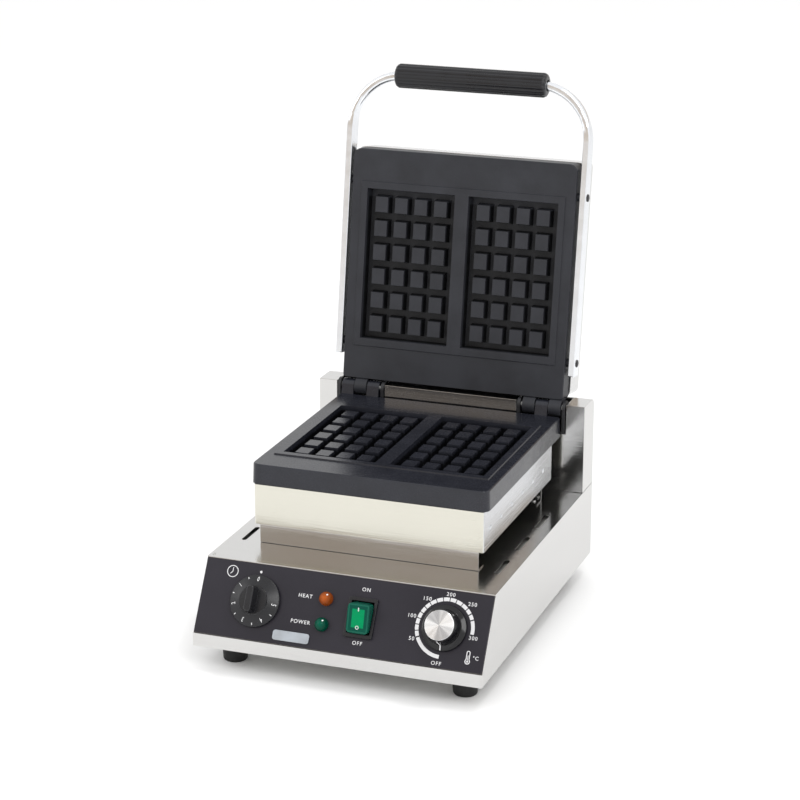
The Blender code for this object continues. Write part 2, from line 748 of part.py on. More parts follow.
def plate_body(bm):
    rings = []
    levels = ((-PLATE_THICK, 0.0), (-PLATE_CHAMFER, PLATE_DRAFT), (0.0, PLATE_DRAFT + PLATE_CHAMFER))
    for z, inset in levels:
        outline = rounded_rectangle(-PLATE_X + inset, PLATE_X - inset, -PLATE_LENGTH + inset, 0,
                                    PLATE_CORNER, 4, 0.0025)
        rings.append([(x, y, z) for x, y in outline])
    loft(bm, rings)


def plate_rim(bm):
    y_range = (-RIM_S[1], -RIM_S[0])
    frustum(bm, (-RIM_X, RIM_X), y_range, -0.002, RIM_RAISE, 0.0015)


def plate_cavities(bm):
    for x_range, y_range in cavity_ranges():
        (x0, x1), (y0, y1) = x_range, y_range
        floor = ((x0 + DRAFT, x1 - DRAFT), (y0 + DRAFT, y1 - DRAFT))
        frustum(bm, *floor, RIM_RAISE + 0.002, -CAVITY_DEPTH, DRAFT)


def plate_studs(bm):
    for (x0, x1), (y0, y1) in cavity_ranges():
        columns, rows = STUD_GRID
        for i in range(columns):
            for j in range(rows):
                x = (x0 + x1) / 2 + (i - (columns - 1) / 2) * STUD_PITCH[0]
                y = (y0 + y1) / 2 + (j - (rows - 1) / 2) * STUD_PITCH[1]
                x_range = (x - STUD_TOP[0] / 2, x + STUD_TOP[0] / 2)
                y_range = (y - STUD_TOP[1] / 2, y + STUD_TOP[1] / 2)
                frustum(bm, x_range, y_range, -CAVITY_DEPTH - 0.001, -STUD_DROP, DRAFT)


def knuckle_outline(axis_z, radius):
    round_part = circle(radius, 24, (-LID_EDGE, axis_z))
    root = [(-0.0010, -0.0030), (-0.0010, -PLATE_THICK + 0.0040)]
    return hull(round_part + root)


def make_plate(name, plate_frame, axis_z, knuckle_radius):
    plate = piece(name, CAST, plate_frame, plate_body)
    combine(plate, cutter(f"{name}_rim", plate_frame, plate_rim), "UNION")
    combine(plate, cutter(f"{name}_cavities", plate_frame, plate_cavities))
    combine(plate, cutter(f"{name}_studs", plate_frame, plate_studs), "UNION")
    left_outer, left_inner, right_middle = (
        (-KNUCKLES[2][1], -KNUCKLES[2][0]),
        (-KNUCKLES[0][1], -KNUCKLES[0][0]),
        KNUCKLES[1],
    )
    outline = knuckle_outline(axis_z, knuckle_radius)

    def knuckles(bm):
        for x0, x1 in (left_outer, left_inner, right_middle):
            prism_x(bm, outline, x0, x1)

    combine(plate, cutter(f"{name}_knuckles", plate_frame, knuckles), "UNION")
    bore = (PIN_RADIUS + 0.00010) / math.cos(math.pi / 24)
    combine(plate, holes(f"{name}_pin_bore", plate_frame, [at(0, -LID_EDGE, axis_z, "x")],
                         bore, -0.130, 0.130, 24))
    bolt_x, bolt_y = CLAMP_BOLT_AT
    combine(plate, holes(f"{name}_bolt_thread", plate_frame, [at(bolt_x, bolt_y, -PLATE_THICK)],
                         0.0027, -0.004, 0.0115, 12))
    return plate


def add_arm_bosses(plate, plate_frame):
    """Cast bosses on the sides of the upper plate, drilled for the handle's screws."""
    boss_end = ARM_X - ARM_THICK / 2 - GAP
    places = [at(0, -t, -ARM_BACK, "x") for t in ARM_SCREW_T]

    def bosses(bm):
        for place in places:
            for low, high in ((-boss_end, -PLATE_X + 0.006), (PLATE_X - 0.006, boss_end)):
                rod(bm, 0.0045, low, high, 16, place)

    combine(plate, cutter("arm_bosses", plate_frame, bosses), "UNION")

    def drilled(bm):
        for place in places:
            for low, high in ((-boss_end - 0.002, -PLATE_X + 0.011), (PLATE_X - 0.011, boss_end + 0.002)):
                rod(bm, 0.0026, low, high, 12, place)

    combine(plate, cutter("arm_threads", plate_frame, drilled))


# ---------------------------------------------------------------- rear housing and hinge mounts
def rear_outline(inset, low):
    rear, high = DEPTH - inset, TOWER_HIGH - inset
    corner = 0.0090 - inset
    return [
        (TOWER_FRONT + inset, low),
        (rear, low),
        *arc((rear - corner, high - corner), corner, 0, 90, 5),
        (TOWER_FRONT + inset, high),
    ]


def make_rear_housing(housing):
    low = BASE_HEIGHT + GAP
    rear = piece("rear_housing", STEEL, housing, lambda bm: prism_x(
        bm, rear_outline(0, low), -WIDTH / 2, WIDTH / 2))
    combine(rear, cutter("rear_hollow", housing, lambda bm: prism_x(
        bm, rear_outline(REAR_SHEET, low - 0.01), -WIDTH / 2 + REAR_SHEET, WIDTH / 2 - REAR_SHEET)))

    def notches(bm):
        for side in (-1, 1):
            x0, x1 = sorted(side * x for x in NOTCH_X)
            block(bm, (x0, TOWER_FRONT - 0.01, NOTCH_LOW), (x1, DEPTH - 0.0100, TOWER_HIGH + 0.01))

    combine(rear, cutter("hinge_notches", housing, notches))


def make_hinge_mounts(housing):
    beam_top = NOTCH_LOW - GAP
    low = BASE_HEIGHT + 2 * GAP
    leg_x = WIDTH / 2 - REAR_SHEET - GAP
    wall = 0.0025
    beam_outline = [
        (-leg_x, low),
        (-leg_x, beam_top),
        (leg_x, beam_top),
        (leg_x, low),
        (leg_x - wall, low),
        (leg_x - wall, beam_top - wall),
        (-leg_x + wall, beam_top - wall),
        (-leg_x + wall, low),
    ]
    piece("hinge_beam", DARK_STEEL, housing, lambda bm: prism_y(bm, beam_outline, 0.3445, 0.374))

    ear = 0.0035
    floor = beam_top + GAP
    for name, side in (("left", -1), ("right", 1)):
        x0, x1 = sorted((side * (NOTCH_X[0] + 0.0008), side * (NOTCH_X[1] - 0.0008)))
        foot = [(0.3412, floor), (0.3690, floor), (0.3690, floor + 0.012), (0.3412, floor + 0.012)]
        outline = hull(circle(EAR_RADIUS, 20, (HINGE_Y, HINGE_Z)) + foot)
        bracket = piece(f"hinge_bracket_{name}", BLACK, housing, lambda bm: prism_x(bm, outline, x0, x1))
        combine(bracket, cutter(f"bracket_{name}_space", housing, lambda bm: block(
            bm, (x0 + ear, 0.335, floor + 0.0025), (x1 - ear, 0.380, 0.200))))
        bore = (PIN_RADIUS + 0.00005) / math.cos(math.pi / 24)
        combine(bracket, holes(f"bracket_{name}_bore", housing, [at(0, HINGE_Y, HINGE_Z, "x")],
                               bore, -0.140, 0.140, 24))
        middle = (x0 + x1) / 2
        pin_reach = (x1 - x0) / 2 - 0.0002
        piece(f"hinge_pin_{name}", DARK_STEEL, housing, lambda bm: rod(
            bm, PIN_RADIUS, -pin_reach, pin_reach, 24, at(0, 0, 0, "x")), (middle, HINGE_Y, HINGE_Z))


# ---------------------------------------------------------------- lid
def cover_loops(inset, low):
    """Rings of the lid cover: straight wall, then a hipped top."""
    front = LID_EDGE - PLATE_LENGTH - 0.0004
    rear = LID_EDGE - 0.0006
    hip = HIP_INSET + inset * 0.4
    levels = (
        (low, inset),
        (COVER_LOW + COVER_WALL - inset * 0.4, inset),
        (COVER_TOP - inset, hip),
    )
    rings = []
    for z, shrink in levels:
        outline = rounded_rectangle(-COVER_X + shrink, COVER_X - shrink, front + shrink, rear - shrink, 0.006, 3)
        rings.append([(x, y, z) for x, y in outline])
    return rings


def make_cover(lid):
    cover = piece("upper_cover", STEEL, lid, lambda bm: loft(bm, cover_loops(0, COVER_LOW)))
    combine(cover, cutter("cover_hollow", lid, lambda bm: loft(bm, cover_loops(SHEET, COVER_LOW - 0.01))))
    tops = [at(x, y + LID_EDGE, COVER_TOP + GAP) for x, y in POSTS_AT]
    combine(cover, holes("cover_screw_holes", lid, tops, 0.0021, -0.004, 0.003, 12))
    for name, place in zip(("front", "rear"), tops):
        screw(f"cover_screw_{name}", lid, place, 0.0042, 0.0024, 0.0018, 0.0100)


def handle_path():
    """Centre line from the left arm's end round to the right arm's end, with section sizes."""
    z = UPPER_FACE + ARM_BACK
    corner_t = GRIP_T - BEND_RADIUS
    flat = (ARM_THICK, ARM_DEEP, 0.2)
    round_bar = (2 * BAR_RADIUS, 2 * BAR_RADIUS, 1)
    arm = [
        (ARM_END, (ARM_THICK, ARM_DEEP - 0.0020, 0.2)),
        (ARM_END + 0.0010, flat),
        (corner_t - 0.0200, flat),
    ]
    right = [((ARM_X, LID_EDGE - t, z), size) for t, size in arm]
    bend = arc((ARM_X - BEND_RADIUS, corner_t), BEND_RADIUS, 0, 90, 12)
    for i, (x, t) in enumerate(bend):
        share = min(1.0, i / 5)
        size = tuple(a + (b - a) * share for a, b in zip(flat, round_bar))
        right.append(((x, LID_EDGE - t, z), size))
    left = [((-x, y, z_), size) for (x, y, z_), size in reversed(right)]
    return right + left


def make_handle(lid):
    path, sizes = zip(*handle_path())
    bar = piece("handle_bar", CHROME, lid, lambda bm: tube(bm, path, sizes, 12))
    z = UPPER_FACE + ARM_BACK
    outer = ARM_X + ARM_THICK / 2
    for side, side_name, facing in ((-1, "left", "-x"), (1, "right", "x")):
        for t, end_name in zip(ARM_SCREW_T, ("lower", "upper")):
            place = at(side * (outer + GAP), LID_EDGE - t, z, facing)
            combine(bar, holes(f"arm_hole_{side_name}_{end_name}", lid, [place], 0.0026, -0.012, 0.003, 12))
            screw(f"handle_screw_{side_name}_{end_name}", lid, place, 0.0040, 0.0009, 0.0023, 0.0155, BLACK)

    def grip(bm):
        count = 48
        stations = (
            (-GRIP_HALF, 0.0090, 0.0),
            (-GRIP_HALF + 0.0012, 0.0115, 0.2),
            (-GRIP_HALF + 0.0040, GRIP_RADIUS, 1.0),
            (GRIP_HALF - 0.0040, GRIP_RADIUS, 1.0),
            (GRIP_HALF - 0.0012, 0.0115, 0.2),
            (GRIP_HALF, 0.0090, 0.0),
        )
        rings = []
        for x, radius, rib in stations:
            ring_points = []
            for i in range(count):
                depth = 0.0009 * rib if i % 3 == 0 else 0.0
                angle = math.tau * i / count
                reach = radius - depth
                ring_points.append((x, reach * math.cos(angle), reach * math.sin(angle)))
            rings.append(ring_points)
        loft(bm, rings)

    grip_piece = piece("handle_grip", BLACK, lid, grip, (0, LID_EDGE - GRIP_T, z))
    combine(grip_piece, holes("grip_bore", lid, [at(0, LID_EDGE - GRIP_T, z, "x")],
                              BAR_RADIUS + 0.0011, -0.1, 0.1, 20))


# ---------------------------------------------------------------- assembly
def build():
    clear_scene()
    housing = frame_empty("housing_frame", None, (0, -ORIGIN_BACK, FOOT_HEIGHT))
    panel_turn = math.atan2(SLOPE_Z, SLOPE_Y)
    panel = frame_empty("panel_frame", housing, (0, 0, LIP), (panel_turn, 0, 0))
    lower = frame_empty("lower_plate_frame", housing, (0, PLATE_REAR, PLATE_FACE))
    lid = frame_empty("lid_frame", housing, (0, HINGE_Y, HINGE_Z), (-LID_OPEN, 0, 0))
    upper = frame_empty("upper_plate_frame", lid, (0, LID_EDGE, UPPER_FACE), (0, math.pi, 0))

    panel_holes = cutter("control_holes", panel, control_holes)
    make_base_housing(housing, panel_holes)
    make_pan(housing)
    make_feet(housing)
    make_panel(panel, panel_holes)
    lamp(panel, "heat_lamp", ORANGE)
    lamp(panel, "power_lamp", GREEN)
    make_timer(panel)
    make_thermostat(panel)
    make_switch(panel)
    make_terminals(housing)
    make_gland(housing)
    make_capillary(housing)
    make_spacers(housing)
    make_skirt(housing)
    make_plate("lower_plate", lower, HINGE_Z - PLATE_FACE, LOWER_KNUCKLE_RADIUS)
    make_heating("lower", lower)
    make_rear_housing(housing)
    make_hinge_mounts(housing)
    upper_plate = make_plate("upper_plate", upper, UPPER_FACE, UPPER_KNUCKLE_RADIUS)
    add_arm_bosses(upper_plate, upper)
    make_heating("upper", upper, UPPER_FACE - COVER_TOP + SHEET + GAP)
    make_cover(lid)
    make_handle(lid)


build()
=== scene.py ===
"""Looks of the waffle maker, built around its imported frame.

The CAD nodes keep their shapes and get softened edges and materials. Screws, printed marks, dial
numbers and small fittings are added as pieces. Everything is in metres, in the frame's own axes.
"""

import json
import math

import bmesh
import bpy
from mathutils import Matrix, Vector

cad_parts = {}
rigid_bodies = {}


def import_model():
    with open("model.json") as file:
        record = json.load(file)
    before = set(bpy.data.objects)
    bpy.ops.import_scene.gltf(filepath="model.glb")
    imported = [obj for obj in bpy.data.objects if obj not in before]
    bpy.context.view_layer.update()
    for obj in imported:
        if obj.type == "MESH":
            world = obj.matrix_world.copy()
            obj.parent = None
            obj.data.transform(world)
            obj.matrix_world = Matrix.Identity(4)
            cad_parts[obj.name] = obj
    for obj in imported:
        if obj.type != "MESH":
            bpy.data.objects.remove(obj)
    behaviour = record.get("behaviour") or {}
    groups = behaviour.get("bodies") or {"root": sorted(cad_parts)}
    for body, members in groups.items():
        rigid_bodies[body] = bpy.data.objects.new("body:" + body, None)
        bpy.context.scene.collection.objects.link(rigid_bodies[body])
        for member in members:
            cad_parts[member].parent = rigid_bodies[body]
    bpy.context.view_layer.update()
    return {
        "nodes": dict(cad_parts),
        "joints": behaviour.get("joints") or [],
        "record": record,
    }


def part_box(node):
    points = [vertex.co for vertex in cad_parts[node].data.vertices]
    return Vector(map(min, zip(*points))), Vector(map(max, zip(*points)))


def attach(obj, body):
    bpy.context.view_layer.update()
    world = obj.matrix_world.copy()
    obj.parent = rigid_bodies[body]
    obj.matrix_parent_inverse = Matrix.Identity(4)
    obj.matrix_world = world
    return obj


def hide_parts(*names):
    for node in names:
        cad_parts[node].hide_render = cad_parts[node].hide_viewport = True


for leftover in list(bpy.data.objects):
    bpy.data.objects.remove(leftover, do_unlink=True)

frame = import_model()
NODES = frame["nodes"]
JOINTS = {joint["name"]: joint for joint in frame["joints"]}

# ---------------------------------------------------------------- places taken from the frame
RIGHT = Vector((1, 0, 0))
NORMAL = -Vector(JOINTS["timer_turn"]["axis"]).normalized()
UP_SLOPE = NORMAL.cross(RIGHT)
TIMER = Vector(JOINTS["timer_turn"]["pos_m"])
THERMOSTAT = Vector(JOINTS["thermostat_turn"]["pos_m"])
ROCKER = Vector(JOINTS["switch_rock"]["pos_m"])
HINGE = Vector(JOINTS["lid_hinge"]["pos_m"])
LID_TURN = -math.radians(JOINTS["lid_hinge"]["range_deg"][1])
ROCKER_TURN = math.radians(JOINTS["switch_rock"]["range_deg"][1]) / 2
KNOB_T = 0.0395
INK = 0.00006

# ---------------------------------------------------------------- driving dimensions
# Waffle cavities: heights of the plates' faces from the hinge, and the area that they fill, which set where
# the plates' channels get painted shade.
LOWER_FACE, UPPER_FACE = -0.0073, -0.0046
CAVITY_DEEP = 0.0120
CAVITY_X = 0.1070
CAVITY_Y = (-0.2066, -0.0434)

# Timer knob: (radius, height) of its sloping skirt's inner and outer edges, and its turn per half minute.
SKIRT_INNER, SKIRT_OUTER = (0.0150, 0.0078), (0.0250, 0.0042)
FIRST_MINUTE, HALF_MINUTE = -2, 26.7
NUMBER_RADIUS, STROKE_RADIUS = 0.0212, 0.0232

# Rocker: height at the middle and the end of its faintly hollow face.
ROCKER_MIDDLE, ROCKER_END, ROCKER_END_Y = 0.0084, 0.0088, 0.0139
ROCKER_MARK_Y = 0.0088
# Half width and half length of the rocker's lit window, and of the inside and outside of its pale line.
WINDOW_HALF, LINE_INSIDE, LINE_OUTSIDE = (0.0063, 0.0090), (0.0093, 0.0126), (0.0104, 0.01375)

# Printing on the panel.
LETTER_HIGH, LETTER_SPACING = 0.0052, 1.22
SCALE_INNER, SCALE_OUTER = 0.0262, 0.0298

# Screws: radius and height of the head, radius and length of the shaft.
SCREW_SIZES = {
    "handle": (0.0040, 0.0009, 0.0023, 0.0155),
    "cover": (0.0042, 0.0024, 0.0018, 0.0100),
    "foot": (0.0045, 0.0030, 0.0025, 0.0160),
    "corner": (0.0016, 0.0009, 0.0008, 0.0010),
    "rear": (0.0032, 0.0018, 0.0015, 0.0012),
    "pan": (0.0030, 0.0016, 0.0013, 0.0008),
    "spacer": (0.0021, 0.0012, 0.0010, 0.0010),
}

# Studio: strength of the white surroundings, and the dark warm patch that the steel mirrors.
WHITE_LEVEL = 1.08
DARK_WAY = Vector((-0.32, -0.88, 0.30)).normalized()
DARK_EDGE, DARK_CORE = math.radians(20), math.radians(8)
DARK_COLOUR = (0.60, 0.51, 0.42, 1)


def on_panel(x=0.0, t=0.0, out=0.0):
    """A place on the control panel: x to the right, t up the slope from its foot, out from its face."""
    rotation = Matrix((RIGHT, UP_SLOPE, NORMAL)).transposed().to_4x4()
    foot = Vector((0, TIMER.y, TIMER.z)) - UP_SLOPE * KNOB_T
    return Matrix.Translation(foot + RIGHT * x + UP_SLOPE * t + NORMAL * out) @ rotation


def panel_place(centre):
    """The panel's axes, moved to a point that is given in the frame."""
    return Matrix.Translation(centre) @ on_panel().to_3x3().to_4x4()


TIMER_PLACE = panel_place(TIMER)
THERMOSTAT_PLACE = panel_place(THERMOSTAT)
ROCKER_PLACE = panel_place(ROCKER) @ Matrix.Rotation(ROCKER_TURN, 4, "X")
LID_PLACE = Matrix.Translation(HINGE) @ Matrix.Rotation(LID_TURN, 4, "X")


# ---------------------------------------------------------------- node trees
class Graph:
    """One material's node tree, with short calls that add a node and hand back its output."""

    def __init__(self, name):
        self.material = bpy.data.materials.new(name)
        self.material.use_nodes = True
        self.tree = self.material.node_tree
        self.shader = self.tree.nodes["Principled BSDF"]
        self.place = self.node("ShaderNodeTexCoord").outputs["Object"]

    def feed(self, socket, value):
        if isinstance(value, bpy.types.NodeSocket):
            self.tree.links.new(value, socket)
        else:
            socket.default_value = value

    def node(self, kind, inputs=None, **settings):
        made = self.tree.nodes.new(kind)
        for key, value in settings.items():
            setattr(made, key, value)
        for key, value in (inputs or {}).items():
            self.feed(made.inputs[key], value)
        return made

    def shade(self, **values):
        for key, value in values.items():
            name = key.replace("_", " ")
            if name.endswith("Color") and isinstance(value, tuple):
                value = (*value, 1)
            self.feed(self.shader.inputs[name], value)
        return self.material

    def math(self, operation, a, b=0.0, c=0.0):
        return self.node("ShaderNodeMath", {0: a, 1: b, 2: c}, operation=operation).outputs[0]

    def vector(self, operation, a, b=(0, 0, 0)):
        made = self.node("ShaderNodeVectorMath", {0: a, 1: b}, operation=operation)
        return made.outputs["Value" if operation in ("LENGTH", "DISTANCE") else "Vector"]

    def scaled(self, vector, amount):
        made = self.node("ShaderNodeVectorMath", {0: vector, "Scale": amount}, operation="SCALE")
        return made.outputs["Vector"]

    def parts(self, vector):
        return self.node("ShaderNodeSeparateXYZ", {0: vector}).outputs

    def noise(self, vector, scale, detail=2.0, roughness=0.5):
        values = {"Vector": vector, "Scale": scale, "Detail": detail, "Roughness": roughness}
        return self.node("ShaderNodeTexNoise", values).outputs["Fac"]

    def cells(self, vector, scale):
        return self.node("ShaderNodeTexVoronoi", {"Vector": vector, "Scale": scale}).outputs["Distance"]

    def remap(self, value, low, high, to_low=0.0, to_high=1.0, smooth=False):
        kind = "SMOOTHSTEP" if smooth else "LINEAR"
        made = self.node("ShaderNodeMapRange", {"Value": value}, interpolation_type=kind)
        limits = {"From Min": low, "From Max": high, "To Min": to_low, "To Max": to_high}
        for key, number in limits.items():
            made.inputs[key].default_value = number
        return made.outputs["Result"]

    def mix(self, factor, a, b):
        made = self.node("ShaderNodeMix", data_type="RGBA")
        self.feed(made.inputs[0], factor)
        self.feed(made.inputs[6], (*a, 1) if isinstance(a, tuple) else a)
        self.feed(made.inputs[7], (*b, 1) if isinstance(b, tuple) else b)
        return made.outputs[2]

    def pick(self, factor, a, b):
        """Vector a where the factor is 0, b where it is 1."""
        made = self.node("ShaderNodeMix", data_type="VECTOR")
        self.feed(made.inputs[0], factor)
        self.feed(made.inputs[4], a)
        self.feed(made.inputs[5], b)
        return made.outputs[1]

    def bump(self, height, distance, strength=1.0, normal=None):
        values = {"Height": height, "Distance": distance, "Strength": strength}
        if normal is not None:
            values["Normal"] = normal
        return self.node("ShaderNodeBump", values).outputs["Normal"]

    def local(self, place):
        """Coordinates seen from a place, in metres."""
        made = self.node("ShaderNodeMapping", {"Vector": self.place}, vector_type="TEXTURE")
        made.inputs["Location"].default_value = place.translation
        made.inputs["Rotation"].default_value = place.to_euler()
        return made.outputs["Vector"]


# ---------------------------------------------------------------- materials
def on_side(g):
    """1 on faces that look along x, 0 on the others."""
    facing = g.node("ShaderNodeTexCoord").outputs["Normal"]
    return g.math("GREATER_THAN", g.math("ABSOLUTE", g.parts(facing)[0]), 0.7)


def brushed_steel(name, colour, roughness=0.22, tilt=0.05, side_light_colour=None):
    """Satin stainless sheet whose fine grain runs along x, and along y on the side faces.

    The tilt is how far the grain turns the surface; the last colour, if given, is painted light for the faces
    that look along x, which are the same steel but catch other light and reflections.
    """
    g = Graph(name)
    side = on_side(g)
    stretch = g.pick(side, (12, 1700, 1700), (1700, 12, 1700))
    stretched = g.vector("MULTIPLY", g.place, stretch)
    grain = g.noise(stretched, 1.0, 3.0, 0.6)
    streak = g.noise(g.scaled(stretched, 0.12), 1.0, 2.0, 0.5)
    smudge = g.noise(g.place, 7.0, 3.0, 0.55)
    marks = g.math("MULTIPLY_ADD", grain, 0.6, g.math("MULTIPLY", streak, 0.4))
    # Painted light: faces that look along x may take a second colour for the light and reflections they
    # catch; they are the same steel.
    tone = g.mix(side, colour, side_light_colour or colour)
    shade = g.math("MULTIPLY", g.remap(marks, 0.30, 0.70, 0.95, 1.0), g.remap(smudge, 0.40, 0.75, 1.0, 0.985))
    tone = g.scaled(tone, shade)
    rough = g.math("ADD", g.remap(grain, 0.3, 0.7, roughness - 0.02, roughness + 0.03),
                   g.remap(smudge, 0.3, 0.7, -0.03, 0.03))
    across = g.pick(side, (0, 0.6, 0.8), (0, 0, 1))
    lean = g.scaled(across, g.remap(grain, 0.25, 0.75, -tilt, tilt))
    turned = g.node("ShaderNodeVectorTransform", {0: lean}, vector_type="VECTOR",
                    convert_from="OBJECT", convert_to="WORLD").outputs[0]
    surface = g.node("ShaderNodeNewGeometry").outputs["Normal"]
    leaned = g.vector("NORMALIZE", g.vector("ADD", surface, turned))
    return g.shade(Base_Color=tone, Metallic=1.0, Roughness=rough,
                   Normal=g.bump(streak, 0.00001, 0.3, leaned))


def cast_coat(name, colour, place, face, floor, specular=0.30, rough=0.46):
    """Cast aluminium under a dark non-stick coat, with painted shade in its channels: darker down the walls
    from the face, a little lighter again near the floor.
    """
    g = Graph(name)
    x, y, depth = g.parts(g.local(place))
    inside = g.math("MULTIPLY", g.math("LESS_THAN", g.math("ABSOLUTE", x), CAVITY_X),
                    g.math("COMPARE", y, sum(CAVITY_Y) / 2, (CAVITY_Y[1] - CAVITY_Y[0]) / 2))
    # Painted shade in the channels: darker with depth below the face, and a little lighter again at the
    # floor.
    fall = g.remap(depth, face, floor)
    walls = g.remap(fall, 0.14, 0.45, 0.0, 0.88, smooth=True)
    painted_channel_shade = g.math("SUBTRACT", walls, g.remap(fall, 0.93, 0.99, 0.0, 0.28))
    shadow = g.math("MULTIPLY", inside, painted_channel_shade)
    grain = g.noise(g.place, 1500.0, 3.0, 0.6)
    pits = g.cells(g.place, 700.0)
    cloud = g.noise(g.place, 28.0, 4.0, 0.6)
    tone = g.mix(g.remap(cloud, 0.3, 0.7), tuple(c * 0.82 for c in colour), tuple(c * 1.22 for c in colour))
    tone = g.mix(g.remap(grain, 0.62, 0.80, 0.0, 0.25), tone, (0.10, 0.10, 0.11))
    tone = g.mix(shadow, tone, (0.001, 0.001, 0.001))
    roughness = g.math("ADD", g.remap(grain, 0.3, 0.7, rough - 0.05, rough + 0.07),
                       g.remap(cloud, 0.3, 0.7, -0.05, 0.05))
    normal = g.bump(pits, 0.00005, 0.35, g.bump(grain, 0.00006, 0.5))
    return g.shade(Base_Color=tone, Metallic=0.0, Roughness=roughness, Normal=normal,
                   Specular_IOR_Level=specular)


def moulded(name, colour, rough, texture=900.0, height=0.00004, coat=0.0, specular=0.5):
    """Moulded plastic or rubber with a fine skin, light dust and rubbed patches."""
    g = Graph(name)
    skin = g.noise(g.place, texture, 2.0, 0.5)
    cloud = g.noise(g.place, 45.0, 3.0, 0.6)
    tone = g.mix(g.remap(cloud, 0.35, 0.7), tuple(c * 0.85 for c in colour), tuple(c * 1.2 for c in colour))
    roughness = g.math("ADD", g.remap(cloud, 0.3, 0.7, rough - 0.05, rough + 0.06),
                       g.remap(skin, 0.3, 0.7, -0.03, 0.03))
    return g.shade(Base_Color=tone, Roughness=roughness, Normal=g.bump(skin, height, 0.6),
                   Coat_Weight=coat, Specular_IOR_Level=specular)


def painted(name, colour, rough, specular=0.4):
    """Stoved paint with faint orange peel and a few pale specks."""
    g = Graph(name)
    peel = g.noise(g.place, 620.0, 2.0, 0.4)
    speck = g.noise(g.place, 2600.0, 1.0, 0.5)
    cloud = g.noise(g.place, 16.0, 3.0, 0.5)
    tone = g.mix(g.remap(cloud, 0.3, 0.7), tuple(c * 0.9 for c in colour), tuple(c * 1.12 for c in colour))
    tone = g.mix(g.remap(speck, 0.70, 0.84, 0.0, 0.25), tone, (0.20, 0.20, 0.21))
    roughness = g.remap(cloud, 0.3, 0.7, rough - 0.04, rough + 0.05)
    return g.shade(Base_Color=tone, Roughness=roughness, Normal=g.bump(peel, 0.00003, 0.4),
                   Specular_IOR_Level=specular)


def plated(name, colour, rough):
    """Plated or polished metal with faint clouding and hairline scratches."""
    g = Graph(name)
    cloud = g.noise(g.place, 60.0, 3.0, 0.6)
    hair = g.noise(g.vector("MULTIPLY", g.place, (17.6, 220.0, 660.0)), 4.0, 2.0, 0.7)
    tone = g.mix(g.remap(cloud, 0.3, 0.7), tuple(c * 0.92 for c in colour), colour)
    roughness = g.math("ADD", g.remap(cloud, 0.3, 0.7, rough * 0.7, rough * 1.3),
                       g.remap(hair, 0.62, 0.8, 0.0, 0.10))
    return g.shade(Base_Color=tone, Metallic=1.0, Roughness=roughness, Normal=g.bump(hair, 0.00001, 0.3))


def clear_lens(name, colour, glow, place):
    """Ribbed translucent lens, brighter near its middle, with a painted highlight: a small pale spot up and
    to the right.
    """
    g = Graph(name)
    local = g.local(place)
    x, y, _ = g.parts(local)
    ribs = g.math("SINE", g.math("MULTIPLY", g.math("ARCTAN2", y, x), 16.0))
    flat = g.vector("MULTIPLY", local, (1, 1, 0))
    middle = g.remap(g.vector("LENGTH", flat), 0.0, 0.0070, 1.0, 0.0, smooth=True)
    tone = g.mix(middle, tuple(c * 0.40 for c in colour), colour)
    tone = g.mix(g.remap(ribs, 0.2, 1.0, 0.0, 0.30), tone, tuple(c * 0.55 for c in colour))
    # Painted highlight: a small pale spot up and to the right of the lens's middle.
    painted_glint_distance = g.vector("DISTANCE", flat, (0.0024, 0.0034, 0))
    tone = g.mix(g.remap(painted_glint_distance, 0.0004, 0.0011, 1.0, 0.0, smooth=True), tone, (0.85, 0.85, 0.85))
    rough = g.remap(g.noise(g.place, 500.0), 0.3, 0.7, 0.08, 0.16)
    return g.shade(Base_Color=tone, Roughness=rough, Normal=g.bump(ribs, 0.00006, 0.25),
                   Specular_IOR_Level=0.12, Emission_Color=glow, Emission_Strength=0.06)


def rocker_plastic(name):
    """Translucent green rocker: dark rim, paler line inside it, and a lit window in the middle."""
    g = Graph(name)
    x, y, _ = g.parts(g.local(ROCKER_PLACE))
    across = g.math("ABSOLUTE", x)
    along = g.math("ABSOLUTE", y)

    def within(half, blur_x, blur_y, smooth=False):
        """1 inside a rectangle of these half sizes, fading to 0 over the two blurs."""
        in_x = g.remap(across, half[0] - blur_x / 2, half[0] + blur_x / 2, 1.0, 0.0, smooth)
        in_y = g.remap(along, half[1] - blur_y / 2, half[1] + blur_y / 2, 1.0, 0.0, smooth)
        return g.math("MULTIPLY", in_x, in_y)

    window = within(WINDOW_HALF, 0.0010, 0.0012, smooth=True)
    line = g.math("SUBTRACT", within(LINE_OUTSIDE, 0.0006, 0.0007), within(LINE_INSIDE, 0.0006, 0.0008))
    cloud = g.noise(g.place, 130.0, 2.0, 0.5)
    tone = g.mix(line, (0.003, 0.058, 0.040), (0.014, 0.105, 0.072))
    tone = g.mix(window, tone, (0.000, 0.200, 0.070))
    tone = g.mix(g.remap(cloud, 0.3, 0.7, 0.0, 0.2), tone, (0.002, 0.090, 0.050))
    glow = g.mix(window, (0.0, 0.008, 0.005), (0.0, 0.26, 0.10))
    rough = g.remap(cloud, 0.3, 0.7, 0.20, 0.30)
    return g.shade(Base_Color=tone, Roughness=rough, Specular_IOR_Level=0.10, Emission_Color=glow,
                   Emission_Strength=0.25, Normal=g.bump(g.noise(g.place, 420.0), 0.00003, 0.3))


